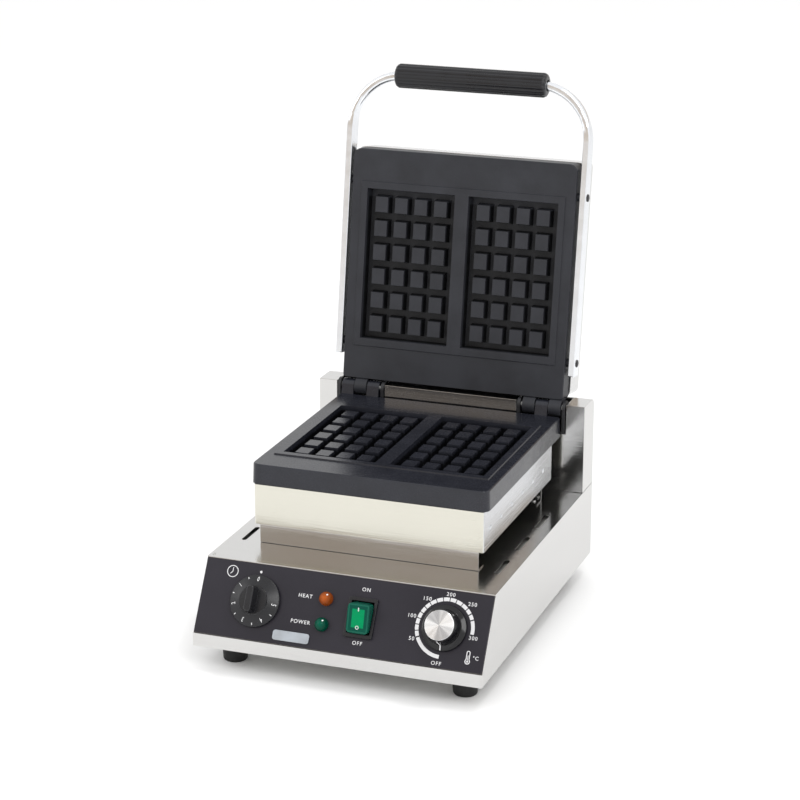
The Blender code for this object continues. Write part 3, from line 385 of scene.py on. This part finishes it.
def spun_cap(name):
    """Spun aluminium: fine rings, and fans of light and shade that cross its centre."""
    g = Graph(name)
    local = g.local(THERMOSTAT_PLACE)
    x, y, _ = g.parts(local)
    away = g.vector("LENGTH", g.vector("MULTIPLY", local, (1, 1, 0)))
    angle = g.math("ARCTAN2", y, x)
    fan = g.math("SINE", g.math("MULTIPLY_ADD", angle, 2.0, 0.6))
    fine = g.math("SINE", g.math("MULTIPLY", angle, 9.0))
    rings = g.math("SINE", g.math("MULTIPLY", away, 24000.0))
    shade = g.math("ADD", g.math("MULTIPLY", fan, 0.7), g.math("MULTIPLY", fine, 0.3))
    tone = g.mix(g.remap(shade, -0.8, 0.8, smooth=True), (0.52, 0.52, 0.53), (1.0, 1.0, 1.0))
    tone = g.mix(g.remap(rings, -1.0, 1.0, 0.0, 0.12), tone, (0.30, 0.30, 0.31))
    return g.shade(Base_Color=tone, Metallic=1.0, Roughness=g.remap(rings, -1.0, 1.0, 0.14, 0.24),
                   Normal=g.bump(rings, 0.00001, 0.4))


def ink(name, colour):
    """Screen-printed ink, thin in places."""
    g = Graph(name)
    thin = g.noise(g.place, 1800.0, 2.0, 0.6)
    tone = g.mix(g.remap(thin, 0.55, 0.80, 0.0, 0.45), colour, tuple(c * 0.55 for c in colour))
    return g.shade(Base_Color=tone, Roughness=g.remap(thin, 0.3, 0.7, 0.42, 0.58),
                   Normal=g.bump(thin, 0.00001, 0.4))


def heater_metal(name):
    """Steel tube, blued and browned by heat."""
    g = Graph(name)
    cloud = g.noise(g.place, 30.0, 3.0, 0.6)
    tone = g.mix(g.remap(cloud, 0.35, 0.65), (0.16, 0.13, 0.11), (0.10, 0.11, 0.15))
    return g.shade(Base_Color=tone, Metallic=1.0, Roughness=g.remap(cloud, 0.3, 0.7, 0.35, 0.55),
                   Normal=g.bump(g.noise(g.place, 900.0), 0.00003, 0.4))


def wool(name):
    """Mineral wool blanket: tangled pale fibres."""
    g = Graph(name)
    fibre = g.noise(g.vector("MULTIPLY", g.place, (400, 400, 1800)), 1.0, 6.0, 0.75)
    tone = g.mix(fibre, (0.42, 0.40, 0.34), (0.78, 0.75, 0.66))
    return g.shade(Base_Color=tone, Roughness=g.remap(fibre, 0.3, 0.7, 0.85, 1.0),
                   Normal=g.bump(fibre, 0.0006, 0.8))


LENS_PLACES = {}
for lamp in ("heat_lamp", "power_lamp"):
    corner_low, corner_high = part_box(f"{lamp}_lens")
    LENS_PLACES[lamp] = panel_place((corner_low + corner_high) / 2)

LOOKS = {
    "housing_steel": brushed_steel("housing_steel_look", (0.62, 0.615, 0.605), 0.17),
    # The skirt's last colour is painted light on its side faces, not a different steel.
    "skirt_steel": brushed_steel("skirt_steel_look", (0.67, 0.655, 0.58), 0.24, 0.06, (0.63, 0.64, 0.66)),
    "plated_steel": plated("plated_steel_look", (0.52, 0.52, 0.50), 0.38),
    "screw_steel": plated("screw_steel_look", (0.60, 0.60, 0.59), 0.28),
    "dark_screw": painted("dark_screw_look", (0.020, 0.020, 0.022), 0.35),
    "element_steel": heater_metal("element_steel_look"),
    "cast_plate": cast_coat("upper_plate_look", (0.021, 0.022, 0.027), LID_PLACE,
                            UPPER_FACE, UPPER_FACE + CAVITY_DEEP),
    "bracket_paint": painted("bracket_paint_look", (0.016, 0.016, 0.018), 0.40),
    "panel_paint": painted("panel_paint_look", (0.019, 0.0172, 0.0235), 0.34, 0.26),
    "badge_metal": plated("badge_metal_look", (0.46, 0.50, 0.55), 0.34),
    "black_plastic": moulded("black_plastic_look", (0.005, 0.005, 0.007), 0.30, specular=0.45),
    "gloss_knob": moulded("gloss_knob_look", (0.004, 0.004, 0.005), 0.14, 300.0, 0.00001, 0.15, 0.35),
    "cap_aluminium": spun_cap("cap_aluminium_look"),
    "orange_lens": clear_lens("orange_lens_look", (0.36, 0.080, 0.012), (0.6, 0.10, 0.01),
                              LENS_PLACES["heat_lamp"]),
    "green_lens": clear_lens("green_lens_look", (0.0, 0.085, 0.050), (0.0, 0.10, 0.06),
                             LENS_PLACES["power_lamp"]),
    "green_rocker": rocker_plastic("green_rocker_look"),
    "handle_chrome": plated("handle_chrome_look", (0.83, 0.85, 0.88), 0.20),
    "rubber": moulded("rubber_look", (0.012, 0.012, 0.012), 0.62, 700.0, 0.00006, 0.0, 0.35),
    "ceramic": moulded("ceramic_look", (0.70, 0.68, 0.62), 0.55),
    "mineral_wool": wool("mineral_wool_look"),
    "copper_line": plated("copper_line_look", (0.72, 0.45, 0.25), 0.30),
}
NODE_LOOKS = {
    "lower_plate": cast_coat("lower_plate_look", (0.015, 0.016, 0.022), Matrix.Translation(HINGE),
                             LOWER_FACE, LOWER_FACE - CAVITY_DEEP, 0.38, 0.24),
    # Painted reflection: the hinge beam's steel is brighter than the housing's to stand in for the bright
    # reflection along it.
    "hinge_beam": brushed_steel("beam_steel_look", (0.84, 0.84, 0.83), 0.24),
    "upper_cover": brushed_steel("cover_steel_look", (0.66, 0.66, 0.655), 0.24, 0.06),
}

INK_WHITE = ink("white_ink_look", (0.68, 0.68, 0.69))
SLOT_OF = {part["node"]: part["material_slot"] for part in frame["record"]["subparts"]}


# ---------------------------------------------------------------- carried-over nodes
def shading_group():
    """Modifier that drops custom normals and shades smoothly up to an edge angle."""
    group = bpy.data.node_groups.new("smooth_by_angle", "GeometryNodeTree")
    group.interface.new_socket("Geometry", in_out="INPUT", socket_type="NodeSocketGeometry")
    group.interface.new_socket("Geometry", in_out="OUTPUT", socket_type="NodeSocketGeometry")
    nodes, links = group.nodes, group.links
    entry = nodes.new("NodeGroupInput")
    leave = nodes.new("NodeGroupOutput")
    forget = nodes.new("GeometryNodeRemoveAttribute")
    forget.inputs["Name"].default_value = "custom_normal"
    faces = nodes.new("GeometryNodeSetShadeSmooth")
    edges = nodes.new("GeometryNodeSetShadeSmooth")
    edges.domain = "EDGE"
    angle = nodes.new("GeometryNodeInputMeshEdgeAngle")
    gentle = nodes.new("FunctionNodeCompare")
    gentle.data_type = "FLOAT"
    gentle.operation = "LESS_THAN"
    gentle.inputs[1].default_value = math.radians(38)
    links.new(entry.outputs[0], forget.inputs["Geometry"])
    links.new(forget.outputs["Geometry"], faces.inputs["Geometry"])
    links.new(faces.outputs["Geometry"], edges.inputs["Geometry"])
    links.new(angle.outputs["Unsigned Angle"], gentle.inputs[0])
    links.new(gentle.outputs[0], edges.inputs["Shade Smooth"])
    links.new(edges.outputs["Geometry"], leave.inputs[0])
    return group


SHADING = shading_group()


def soften(item, width):
    """Join the mesh's split corners, round its edges and shade it smoothly."""
    weld = item.modifiers.new("join", "WELD")
    weld.merge_threshold = 1e-6
    flat = item.modifiers.new("flat faces", "DECIMATE")
    flat.decimate_type = "DISSOLVE"
    flat.angle_limit = math.radians(0.4)
    if width > 0:
        edges = item.modifiers.new("edges", "BEVEL")
        edges.width = width
        edges.segments = 2
        edges.limit_method = "ANGLE"
        edges.angle_limit = math.radians(40)
        edges.use_clamp_overlap = True
    item.modifiers.new("shading", "NODES").node_group = SHADING
    weights = item.modifiers.new("weights", "WEIGHTED_NORMAL")
    weights.keep_sharp = True


EDGE_WIDTHS = {
    "base_housing": 0.0006,
    "rear_housing": 0.0007,
    "lower_skirt": 0.0006,
    "upper_cover": 0.0006,
    "front_spacer": 0.0003,
    "rear_spacer": 0.0003,
    "lower_plate": 0.0005,
    "upper_plate": 0.0005,
    "switch_housing": 0.0005,
    "switch_rocker": 0.0,
    "timer_knob": 0.0004,
    "handle_grip": 0.0002,
    "handle_bar": 0.0,
    "hinge_bracket_left": 0.0004,
    "hinge_bracket_right": 0.0004,
}


def dress_nodes():
    for name, item in NODES.items():
        item.data.materials.clear()
        item.data.materials.append(NODE_LOOKS.get(name) or LOOKS[SLOT_OF[name]])
        soften(item, EDGE_WIDTHS.get(name, 0.0002))


# ---------------------------------------------------------------- new pieces
def make_piece(name, body, slot, draw, place=None, look=None):
    """One mesh piece in its own axes; draw(bm) fills it."""
    mesh = bpy.data.meshes.new(name)
    bm = bmesh.new()
    draw(bm)
    bmesh.ops.recalc_face_normals(bm, faces=bm.faces)
    bm.to_mesh(mesh)
    bm.free()
    item = bpy.data.objects.new(name, mesh)
    bpy.context.collection.objects.link(item)
    item.matrix_world = place or Matrix()
    mesh.materials.append(look or LOOKS[slot])
    mesh.shade_smooth()
    mesh.set_sharp_from_angle(angle=math.radians(40))
    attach(item, body)
    return item


def loft(bm, rings):
    """Skin over closed rings of points, capped at both ends."""
    rows = [[bm.verts.new(point) for point in ring] for ring in rings]
    count = len(rows[0])
    for low, high in zip(rows, rows[1:]):
        for i in range(count):
            j = (i + 1) % count
            bm.faces.new((low[i], low[j], high[j], high[i]))
    bm.faces.new(rows[0])
    bm.faces.new(rows[-1])


def plate(bm, outline, low=INK, high=2 * INK):
    """Thin flat shape between two heights."""
    loft(bm, [[(x, y, z) for x, y in outline] for z in (low, high)])


def circle(radius, count=32, centre=(0, 0)):
    angles = [math.tau * i / count for i in range(count)]
    return [(centre[0] + radius * math.cos(a), centre[1] + radius * math.sin(a)) for a in angles]


def ring_part(bm, inner, outer, start, end, centre=(0, 0), low=INK, high=2 * INK):
    """Flat band from a start to an end angle in degrees."""
    count = max(2, round(abs(end - start) / 5))
    angles = [math.radians(start + (end - start) * i / count) for i in range(count + 1)]
    cx, cy = centre
    far = [(cx + outer * math.cos(a), cy + outer * math.sin(a)) for a in angles]
    near = [(cx + inner * math.cos(a), cy + inner * math.sin(a)) for a in reversed(angles)]
    outline = far + near
    tops = [[bm.verts.new((x, y, z)) for x, y in outline] for z in (low, high)]
    total = len(outline)
    for i in range(total):
        j = (i + 1) % total
        bm.faces.new((tops[0][i], tops[0][j], tops[1][j], tops[1][i]))
    for row in tops:
        for i in range(count):
            bm.faces.new((row[i], row[i + 1], row[total - 2 - i], row[total - 1 - i]))


def bar(bm, start, end, width, low=INK, high=2 * INK):
    """Flat stroke between two points."""
    a, b = Vector(start), Vector(end)
    side = Vector((a.y - b.y, b.x - a.x)).normalized() * width / 2
    plate(bm, [a + side, a - side, b - side, b + side], low, high)


def write(bm, words, size, place):
    """Add words in the built-in typeface, centred on a place and lying in its plane."""
    curve = bpy.data.curves.new("words", "FONT")
    curve.body = words
    curve.size = size
    curve.align_x = "CENTER"
    curve.align_y = "CENTER"
    curve.extrude = INK / 2
    curve.space_character = LETTER_SPACING
    curve.offset = size * 0.010
    curve.resolution_u = 4
    item = bpy.data.objects.new("words", curve)
    bpy.context.collection.objects.link(item)
    bpy.context.view_layer.update()
    mesh = item.evaluated_get(bpy.context.evaluated_depsgraph_get()).to_mesh()
    copy = mesh.copy()
    copy.transform(place @ Matrix.Translation((0, 0, 1.5 * INK)))
    bm.from_mesh(copy)
    bpy.data.objects.remove(item)
    bpy.data.curves.remove(curve)
    bpy.data.meshes.remove(copy)


# ---------------------------------------------------------------- printed marks
def spot(x, t):
    return Matrix.Translation((x, t, 0))


def panel_words(bm):
    labels = (
        ("HEAT", -0.0402, 0.0515),
        ("POWER", -0.0407, 0.0257),
        ("ON", 0.0208, 0.0656),
        ("OFF", 0.0209, 0.0129),
        ("50", 0.0744, 0.0253),
        ("100", 0.0708, 0.0472),
        ("150", 0.0833, 0.0654),
        ("200", 0.1062, 0.0723),
        ("250", 0.1291, 0.0656),
        ("300", 0.1352, 0.0336),
        ("OFF", 0.1029, 0.0049),
    )
    for words, x, t in labels:
        write(bm, words, LETTER_HIGH, spot(x, t))
    write(bm, "°C", 0.0050, spot(0.1410, 0.0150))


def scale_bands(bm):
    """Bands of the temperature scale, from off at the bottom round to the highest setting."""
    centre = (THERMOSTAT.x, KNOB_T)
    numbers = (204.0, 167.0, 130.0, 89.0, 48.0)
    bands = [(268.0, 206.0)]
    for start, end in zip(numbers, numbers[1:]):
        step = (end - start) / 3
        for i in range(3):
            bands.append((start + i * step - 0.9, start + (i + 1) * step + 0.9))
    bands += [(47.0, 37.0), (34.5, 24.5), (22.0, -5.0)]
    for start, end in bands:
        ring_part(bm, SCALE_INNER, SCALE_OUTER, start, end, centre)


def clock_sign(bm):
    centre = (-0.1203, 0.0659)
    ring_part(bm, 0.0052, 0.0060, 0, 180, centre)
    ring_part(bm, 0.0052, 0.0060, 180, 360, centre)
    x, t = centre
    bar(bm, (x, t - 0.0006), (x + 0.0002, t + 0.0038), 0.0007)
    bar(bm, (x, t - 0.0002), (x - 0.0022, t - 0.0026), 0.0007)


def thermometer_sign(bm):
    x, t = 0.1333, 0.0110
    ring_part(bm, 0.0018, 0.0027, 120, 420, (x, t))
    plate(bm, circle(0.0010, 16, (x, t)))
    for side in (-1, 1):
        bar(bm, (x + side * 0.0015, t + 0.0022), (x + side * 0.0015, t + 0.0085), 0.0008)
    ring_part(bm, 0.0011, 0.0019, 0, 180, (x, t + 0.0085))
    bar(bm, (x, t), (x, t + 0.0060), 0.0007)


def make_print():
    def draw(bm):
        panel_words(bm)
        scale_bands(bm)
        clock_sign(bm)
        thermometer_sign(bm)
        plate(bm, circle(0.0013, 20, (TIMER.x, 0.0688)))

    make_piece("panel_print", "base", "panel_paint", draw, on_panel(), INK_WHITE)


def cone_height(radius):
    """Height of the timer knob's sloping skirt above the panel."""
    fall = (SKIRT_OUTER[1] - SKIRT_INNER[1]) / (SKIRT_OUTER[0] - SKIRT_INNER[0])
    return SKIRT_INNER[1] + (radius - SKIRT_INNER[0]) * fall


def make_timer_marks():
    """Minutes 0 to 5 on the knob's skirt, with a short stroke at each half minute."""
    slope = math.atan2(SKIRT_INNER[1] - SKIRT_OUTER[1], SKIRT_OUTER[0] - SKIRT_INNER[0])

    def draw(bm):
        for i in range(11):
            turn = Matrix.Rotation(math.radians(FIRST_MINUTE + HALF_MINUTE * i), 4, "Z")
            radius = NUMBER_RADIUS if i % 2 == 0 else STROKE_RADIUS
            lift = Matrix.Translation((0, radius, cone_height(radius)))
            place = turn @ lift @ Matrix.Rotation(-slope, 4, "X")
            if i % 2 == 0:
                write(bm, str(i // 2), 0.0056, place @ Matrix.Diagonal((0.75, 1.25, 1, 1)))
            else:
                made = bmesh.new()
                plate(made, [(-0.0004, -0.0011), (0.0004, -0.0011), (0.0004, 0.0011), (-0.0004, 0.0011)])
                mesh = bpy.data.meshes.new("stroke")
                made.to_mesh(mesh)
                made.free()
                mesh.transform(place)
                bm.from_mesh(mesh)
                bpy.data.meshes.remove(mesh)

    make_piece("timer_marks", "timer", "black_plastic", draw, TIMER_PLACE, INK_WHITE)


def make_thermostat_pointer():
    """White line down the knob's hub and across its skirt."""
    profile = [(0.0157, 0.0187), (0.01595, 0.0184), (0.0172, 0.0060), (0.0184, 0.0046), (0.0219, 0.0036)]

    def draw(bm):
        half = 0.00055
        lift, sunk = 0.00008, 0.0004
        rows = []
        for radius, height in profile:
            outer_y, inner_y = -radius - lift, -radius + sunk
            rows.append([(-half, outer_y, height + lift), (half, outer_y, height + lift)])
            rows[-1] += [(half, inner_y, height - sunk), (-half, inner_y, height - sunk)]
        loft(bm, rows)

    make_piece("thermostat_pointer", "thermostat", "gloss_knob", draw, THERMOSTAT_PLACE, INK_WHITE)


def make_rocker_marks():
    """A stroke and a ring on the two ends of the rocker's faintly hollow face."""
    slope = math.atan2(ROCKER_END - ROCKER_MIDDLE, ROCKER_END_Y)

    def ring(bm):
        ring_part(bm, 0.0012, 0.0018, 0, 180, (0, 0))
        ring_part(bm, 0.0012, 0.0018, 180, 360, (0, 0))

    def stroke(bm):
        plate(bm, [(-0.00045, -0.0018), (0.00045, -0.0018), (0.00045, 0.0018), (-0.00045, 0.0018)])

    marks = (("rocker_on_mark", ROCKER_MARK_Y, stroke), ("rocker_off_mark", -ROCKER_MARK_Y, ring))
    for name, y, shape in marks:
        height = ROCKER_MIDDLE + abs(y) * math.tan(slope)
        tip = Matrix.Rotation(math.copysign(slope, y), 4, "X")
        place = ROCKER_PLACE @ Matrix.Translation((0, y, height)) @ tip
        make_piece(name, "rocker", "green_rocker", shape, place, INK_WHITE)


def make_dimples():
    """Rows of small pressed buttons along both sides of the lower skirt."""
    low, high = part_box("lower_skirt")
    count, pitch = 6, 0.0357
    reach, rise = 0.0032, 0.0012
    dome = ((1.0, 0.02), (0.85, 0.35), (0.6, 0.72), (0.3, 0.94), (0.05, 1.0))
    z = (low.z + high.z) / 2 - 0.0015

    def caps(bm):
        for i in range(count):
            y = low.y + 0.0207 + i * pitch
            for side in (-1, 1):
                rings = []
                for share, level in dome:
                    x = side * (high.x + rise * level)
                    rings.append([(x, y + a, z + b) for a, b in circle(reach * share, 16)])
                loft(bm, rings)

    make_piece("skirt_buttons", "base", "skirt_steel", caps)


def make_baffles():
    """Bent strips under the vent slots in the top of the base, which keep drips off the wiring."""
    low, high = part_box("base_housing")
    sheet = 0.0006
    for name, side in (("left", -1), ("right", 1)):
        middle = side * 0.134
        section = [(-0.0080, -0.0014), (-0.0060, -0.0034), (0.0060, -0.0034), (0.0080, -0.0014)]

        def strip(bm):
            upper = [(middle + x, high.z + z) for x, z in section]
            lower = [(x, z - sheet) for x, z in reversed(upper)]
            loft(bm, [[(x, y, z) for x, z in upper + lower] for y in (low.y + 0.085, low.y + 0.272)])

        make_piece(f"vent_baffle_{name}", "base", "plated_steel", strip)


# ---------------------------------------------------------------- screws
def screw_mesh(bm, head_radius, head_height, shaft_radius, shaft_length):
    """Pan head with a pressed cross recess, and a threaded shaft below it."""
    count = 24
    arm, width, depth = head_radius * 0.62, head_radius * 0.17, head_height * 0.55
    crown = [(1.0, 0.0), (1.0, 0.30), (0.93, 0.62), (0.80, 0.85), (0.66, 0.97)]
    rings = []
    for share, level in crown:
        outline = circle(head_radius * share, count)
        rings.append([bm.verts.new((x, y, head_height * level)) for x, y in outline])
    for low, high in zip(rings, rings[1:]):
        for i in range(count):
            j = (i + 1) % count
            bm.faces.new((low[i], low[j], high[j], high[i]))
    cross = []
    for k in range(4):
        turn = Matrix.Rotation(k * math.pi / 2, 2)
        for x, y in ((arm, -width), (arm, width), (width, width)):
            cross.append(turn @ Vector((x, y)))
    top = [bm.verts.new((x, y, head_height * 0.99)) for x, y in cross]
    floor = [bm.verts.new((x * 0.85, y * 0.85, head_height - depth)) for x, y in cross]
    for i in range(12):
        j = (i + 1) % 12
        bm.faces.new((top[i], top[j], floor[j], floor[i]))
        a, b = rings[-1][2 * i], rings[-1][(2 * i + 2) % count]
        bm.faces.new((a, rings[-1][2 * i + 1], b, top[j], top[i]))
    bm.faces.new(floor)
    turns = max(3, round(shaft_length / 0.0012))
    under = [[bm.verts.new((x, y, 0)) for x, y in circle(shaft_radius, count)]]
    for i in range(1, 2 * turns + 1):
        size = shaft_radius * (0.84 if i % 2 else 1.0)
        level = -shaft_length * i / (2 * turns)
        under.append([bm.verts.new((x, y, level)) for x, y in circle(size, count)])
    for low, high in zip([rings[0]] + under, under):
        for i in range(count):
            j = (i + 1) % count
            bm.faces.new((high[i], high[j], low[j], low[i]))
    bm.faces.new(under[-1])


def add_screw(name, body, slot, place, kind):
    return make_piece(name, body, slot, lambda bm: screw_mesh(bm, *SCREW_SIZES[kind]), place)


def aimed(point, direction, spin=0.0):
    """A place at a point whose local z looks along a direction."""
    turn = Vector(direction).to_track_quat("Z", "Y").to_matrix().to_4x4()
    return Matrix.Translation(point) @ turn @ Matrix.Rotation(spin, 4, "Z")


def detail_screws():
    """Swap the plain screws of the frame for ones with recesses and threads."""
    lid_up = (LID_PLACE.to_3x3() @ Vector((0, 0, 1))).normalized()
    kinds = []
    for name in NODES:
        if name.startswith("handle_screw"):
            side = 1 if "right" in name else -1
            kinds.append((name, "lid", Vector((side, 0, 0)), "handle"))
        elif name.startswith("cover_screw"):
            kinds.append((name, "lid", lid_up, "cover"))
        elif name.startswith("foot_screw"):
            kinds.append((name, "base", Vector((0, 0, -1)), "foot"))
    for i, (name, body, way, kind) in enumerate(kinds):
        points = [vertex.co for vertex in NODES[name].data.vertices]
        centre = sum(points, Vector()) / len(points)
        reach = max(point.dot(way) for point in points)
        seat = centre + way * (reach - centre.dot(way) - SCREW_SIZES[kind][1])
        place = aimed(seat, way, 0.7 + 1.3 * i)
        made = add_screw(f"{name}_cross", body, SLOT_OF[name], place, kind)
        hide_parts(name)


def extra_screws():
    """Small screws that the frame leaves out."""
    low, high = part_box("base_housing")
    rear_low, rear_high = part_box("rear_housing")
    pan_low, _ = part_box("base_pan")
    spacer_low, spacer_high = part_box("rear_spacer")
    panel_top = on_panel(0, 0.0755).translation.y
    place = aimed((low.x + 0.0040, panel_top + 0.0075, high.z), (0, 0, 1), 0.4)
    add_screw("corner_screw", "base", "screw_steel", place, "corner")
    for i, x in enumerate((-0.136, -0.045, 0.045, 0.136)):
        for j, z in enumerate((rear_low.z + 0.010, rear_low.z + 0.048)):
            place = aimed((x, rear_high.y, z), (0, 1, 0), 0.5 * i + j)
            add_screw(f"rear_screw_{i}_{j}", "base", "screw_steel", place, "rear")
    rows = ((0.141, -0.150), (0.141, 0.030), (0.060, 0.141))
    for i, (x, y) in enumerate((side * x, y) for x, y in rows for side in (-1, 1)):
        place = aimed((x, y, pan_low.z), (0, 0, -1), 0.9 * i)
        add_screw(f"pan_screw_{i}", "base", "screw_steel", place, "pan")
    for i, side in enumerate((-1, 1)):
        corner = (side * (spacer_high.x - 0.006), spacer_high.y - 0.008, spacer_low.z + 0.0012)
        add_screw(f"spacer_screw_{i}", "base", "screw_steel", aimed(corner, (0, 0, 1), 0.3 + i), "spacer")


# ---------------------------------------------------------------- floor, light, camera
def make_floor():
    g = Graph("floor_look")
    cloud = g.noise(g.place, 3.0, 3.0, 0.5)
    g.shade(Base_Color=g.mix(cloud, (0.92, 0.92, 0.92), (0.94, 0.94, 0.94)), Roughness=0.7,
            Specular_IOR_Level=0.2)
    mesh = bpy.data.meshes.new("floor")
    reach = 12.0
    corners = [(-reach, -reach, 0), (reach, -reach, 0), (reach, reach, 0), (-reach, reach, 0)]
    mesh.from_pydata(corners, [], [(0, 1, 2, 3)])
    mesh.materials.append(g.material)
    floor = bpy.data.objects.new("floor", mesh)
    bpy.context.collection.objects.link(floor)


def softbox(name, place, target, width, height, power):
    light = bpy.data.lights.new(name, "AREA")
    light.shape = "RECTANGLE"
    light.size = width
    light.size_y = height
    light.energy = power
    item = bpy.data.objects.new(name, light)
    item.matrix_world = aimed(place, Vector(place) - Vector(target))
    bpy.context.collection.objects.link(item)


def make_world():
    """White studio with a dark warm patch low in front and one behind, which only reflections see."""
    world = bpy.data.worlds.new("studio")
    world.use_nodes = True
    tree = world.node_tree
    background = tree.nodes["Background"]
    way = tree.nodes.new("ShaderNodeTexCoord").outputs["Generated"]
    level = tree.nodes.new("ShaderNodeVectorMath")
    level.operation = "DOT_PRODUCT"
    level.inputs[1].default_value = (DARK_WAY.x, DARK_WAY.y, 0)
    tree.links.new(way, level.inputs[0])
    either = tree.nodes.new("ShaderNodeMath")
    either.operation = "ABSOLUTE"
    tree.links.new(level.outputs["Value"], either.inputs[0])
    height = tree.nodes.new("ShaderNodeSeparateXYZ")
    tree.links.new(way, height.inputs[0])
    facing = tree.nodes.new("ShaderNodeMath")
    facing.operation = "MULTIPLY_ADD"
    tree.links.new(height.outputs["Z"], facing.inputs[0])
    facing.inputs[1].default_value = DARK_WAY.z
    tree.links.new(either.outputs[0], facing.inputs[2])
    patch = tree.nodes.new("ShaderNodeMapRange")
    patch.interpolation_type = "SMOOTHSTEP"
    patch.inputs["From Min"].default_value = math.cos(DARK_EDGE)
    patch.inputs["From Max"].default_value = math.cos(DARK_CORE)
    tree.links.new(facing.outputs[0], patch.inputs["Value"])
    unseen = tree.nodes.new("ShaderNodeMath")
    unseen.operation = "SUBTRACT"
    unseen.use_clamp = True
    tree.links.new(patch.outputs["Result"], unseen.inputs[0])
    tree.links.new(tree.nodes.new("ShaderNodeLightPath").outputs["Is Camera Ray"], unseen.inputs[1])
    colour = tree.nodes.new("ShaderNodeMix")
    colour.data_type = "RGBA"
    tree.links.new(unseen.outputs[0], colour.inputs[0])
    colour.inputs[6].default_value = (1.0, 1.0, 1.0, 1)
    colour.inputs[7].default_value = DARK_COLOUR
    tree.links.new(colour.outputs[2], background.inputs["Color"])
    background.inputs["Strength"].default_value = WHITE_LEVEL
    bpy.context.scene.world = world


def make_light():
    make_world()
    middle = (0, 0, 0.22)
    softbox("key", (1.3, -1.7, 2.0), middle, 1.2, 1.2, 19)
    softbox("fill", (-1.9, -1.2, 1.4), middle, 1.4, 1.4, 10)
    softbox("spark", (0.66, -0.06, 1.98), middle, 0.20, 0.20, 5)


def make_camera():
    camera = bpy.data.cameras.new("camera")
    camera.lens = 111.36
    camera.sensor_width = 36.0
    item = bpy.data.objects.new("camera", camera)
    place, target = Vector((0.80688, -2.28032, 1.00296)), Vector((0.05995, -0.20866, 0.29718))
    turn = (target - place).to_track_quat("-Z", "Y").to_matrix().to_4x4()
    item.matrix_world = Matrix.Translation(place) @ turn @ Matrix.Rotation(math.radians(0.13), 4, "Z")
    bpy.context.collection.objects.link(item)
    bpy.context.scene.camera = item
    bpy.context.scene.view_settings.view_transform = "Standard"


# ---------------------------------------------------------------- build
dress_nodes()
make_print()
make_timer_marks()
make_thermostat_pointer()
make_rocker_marks()
make_dimples()
make_baffles()
detail_screws()
extra_screws()
make_floor()
make_light()
make_camera()
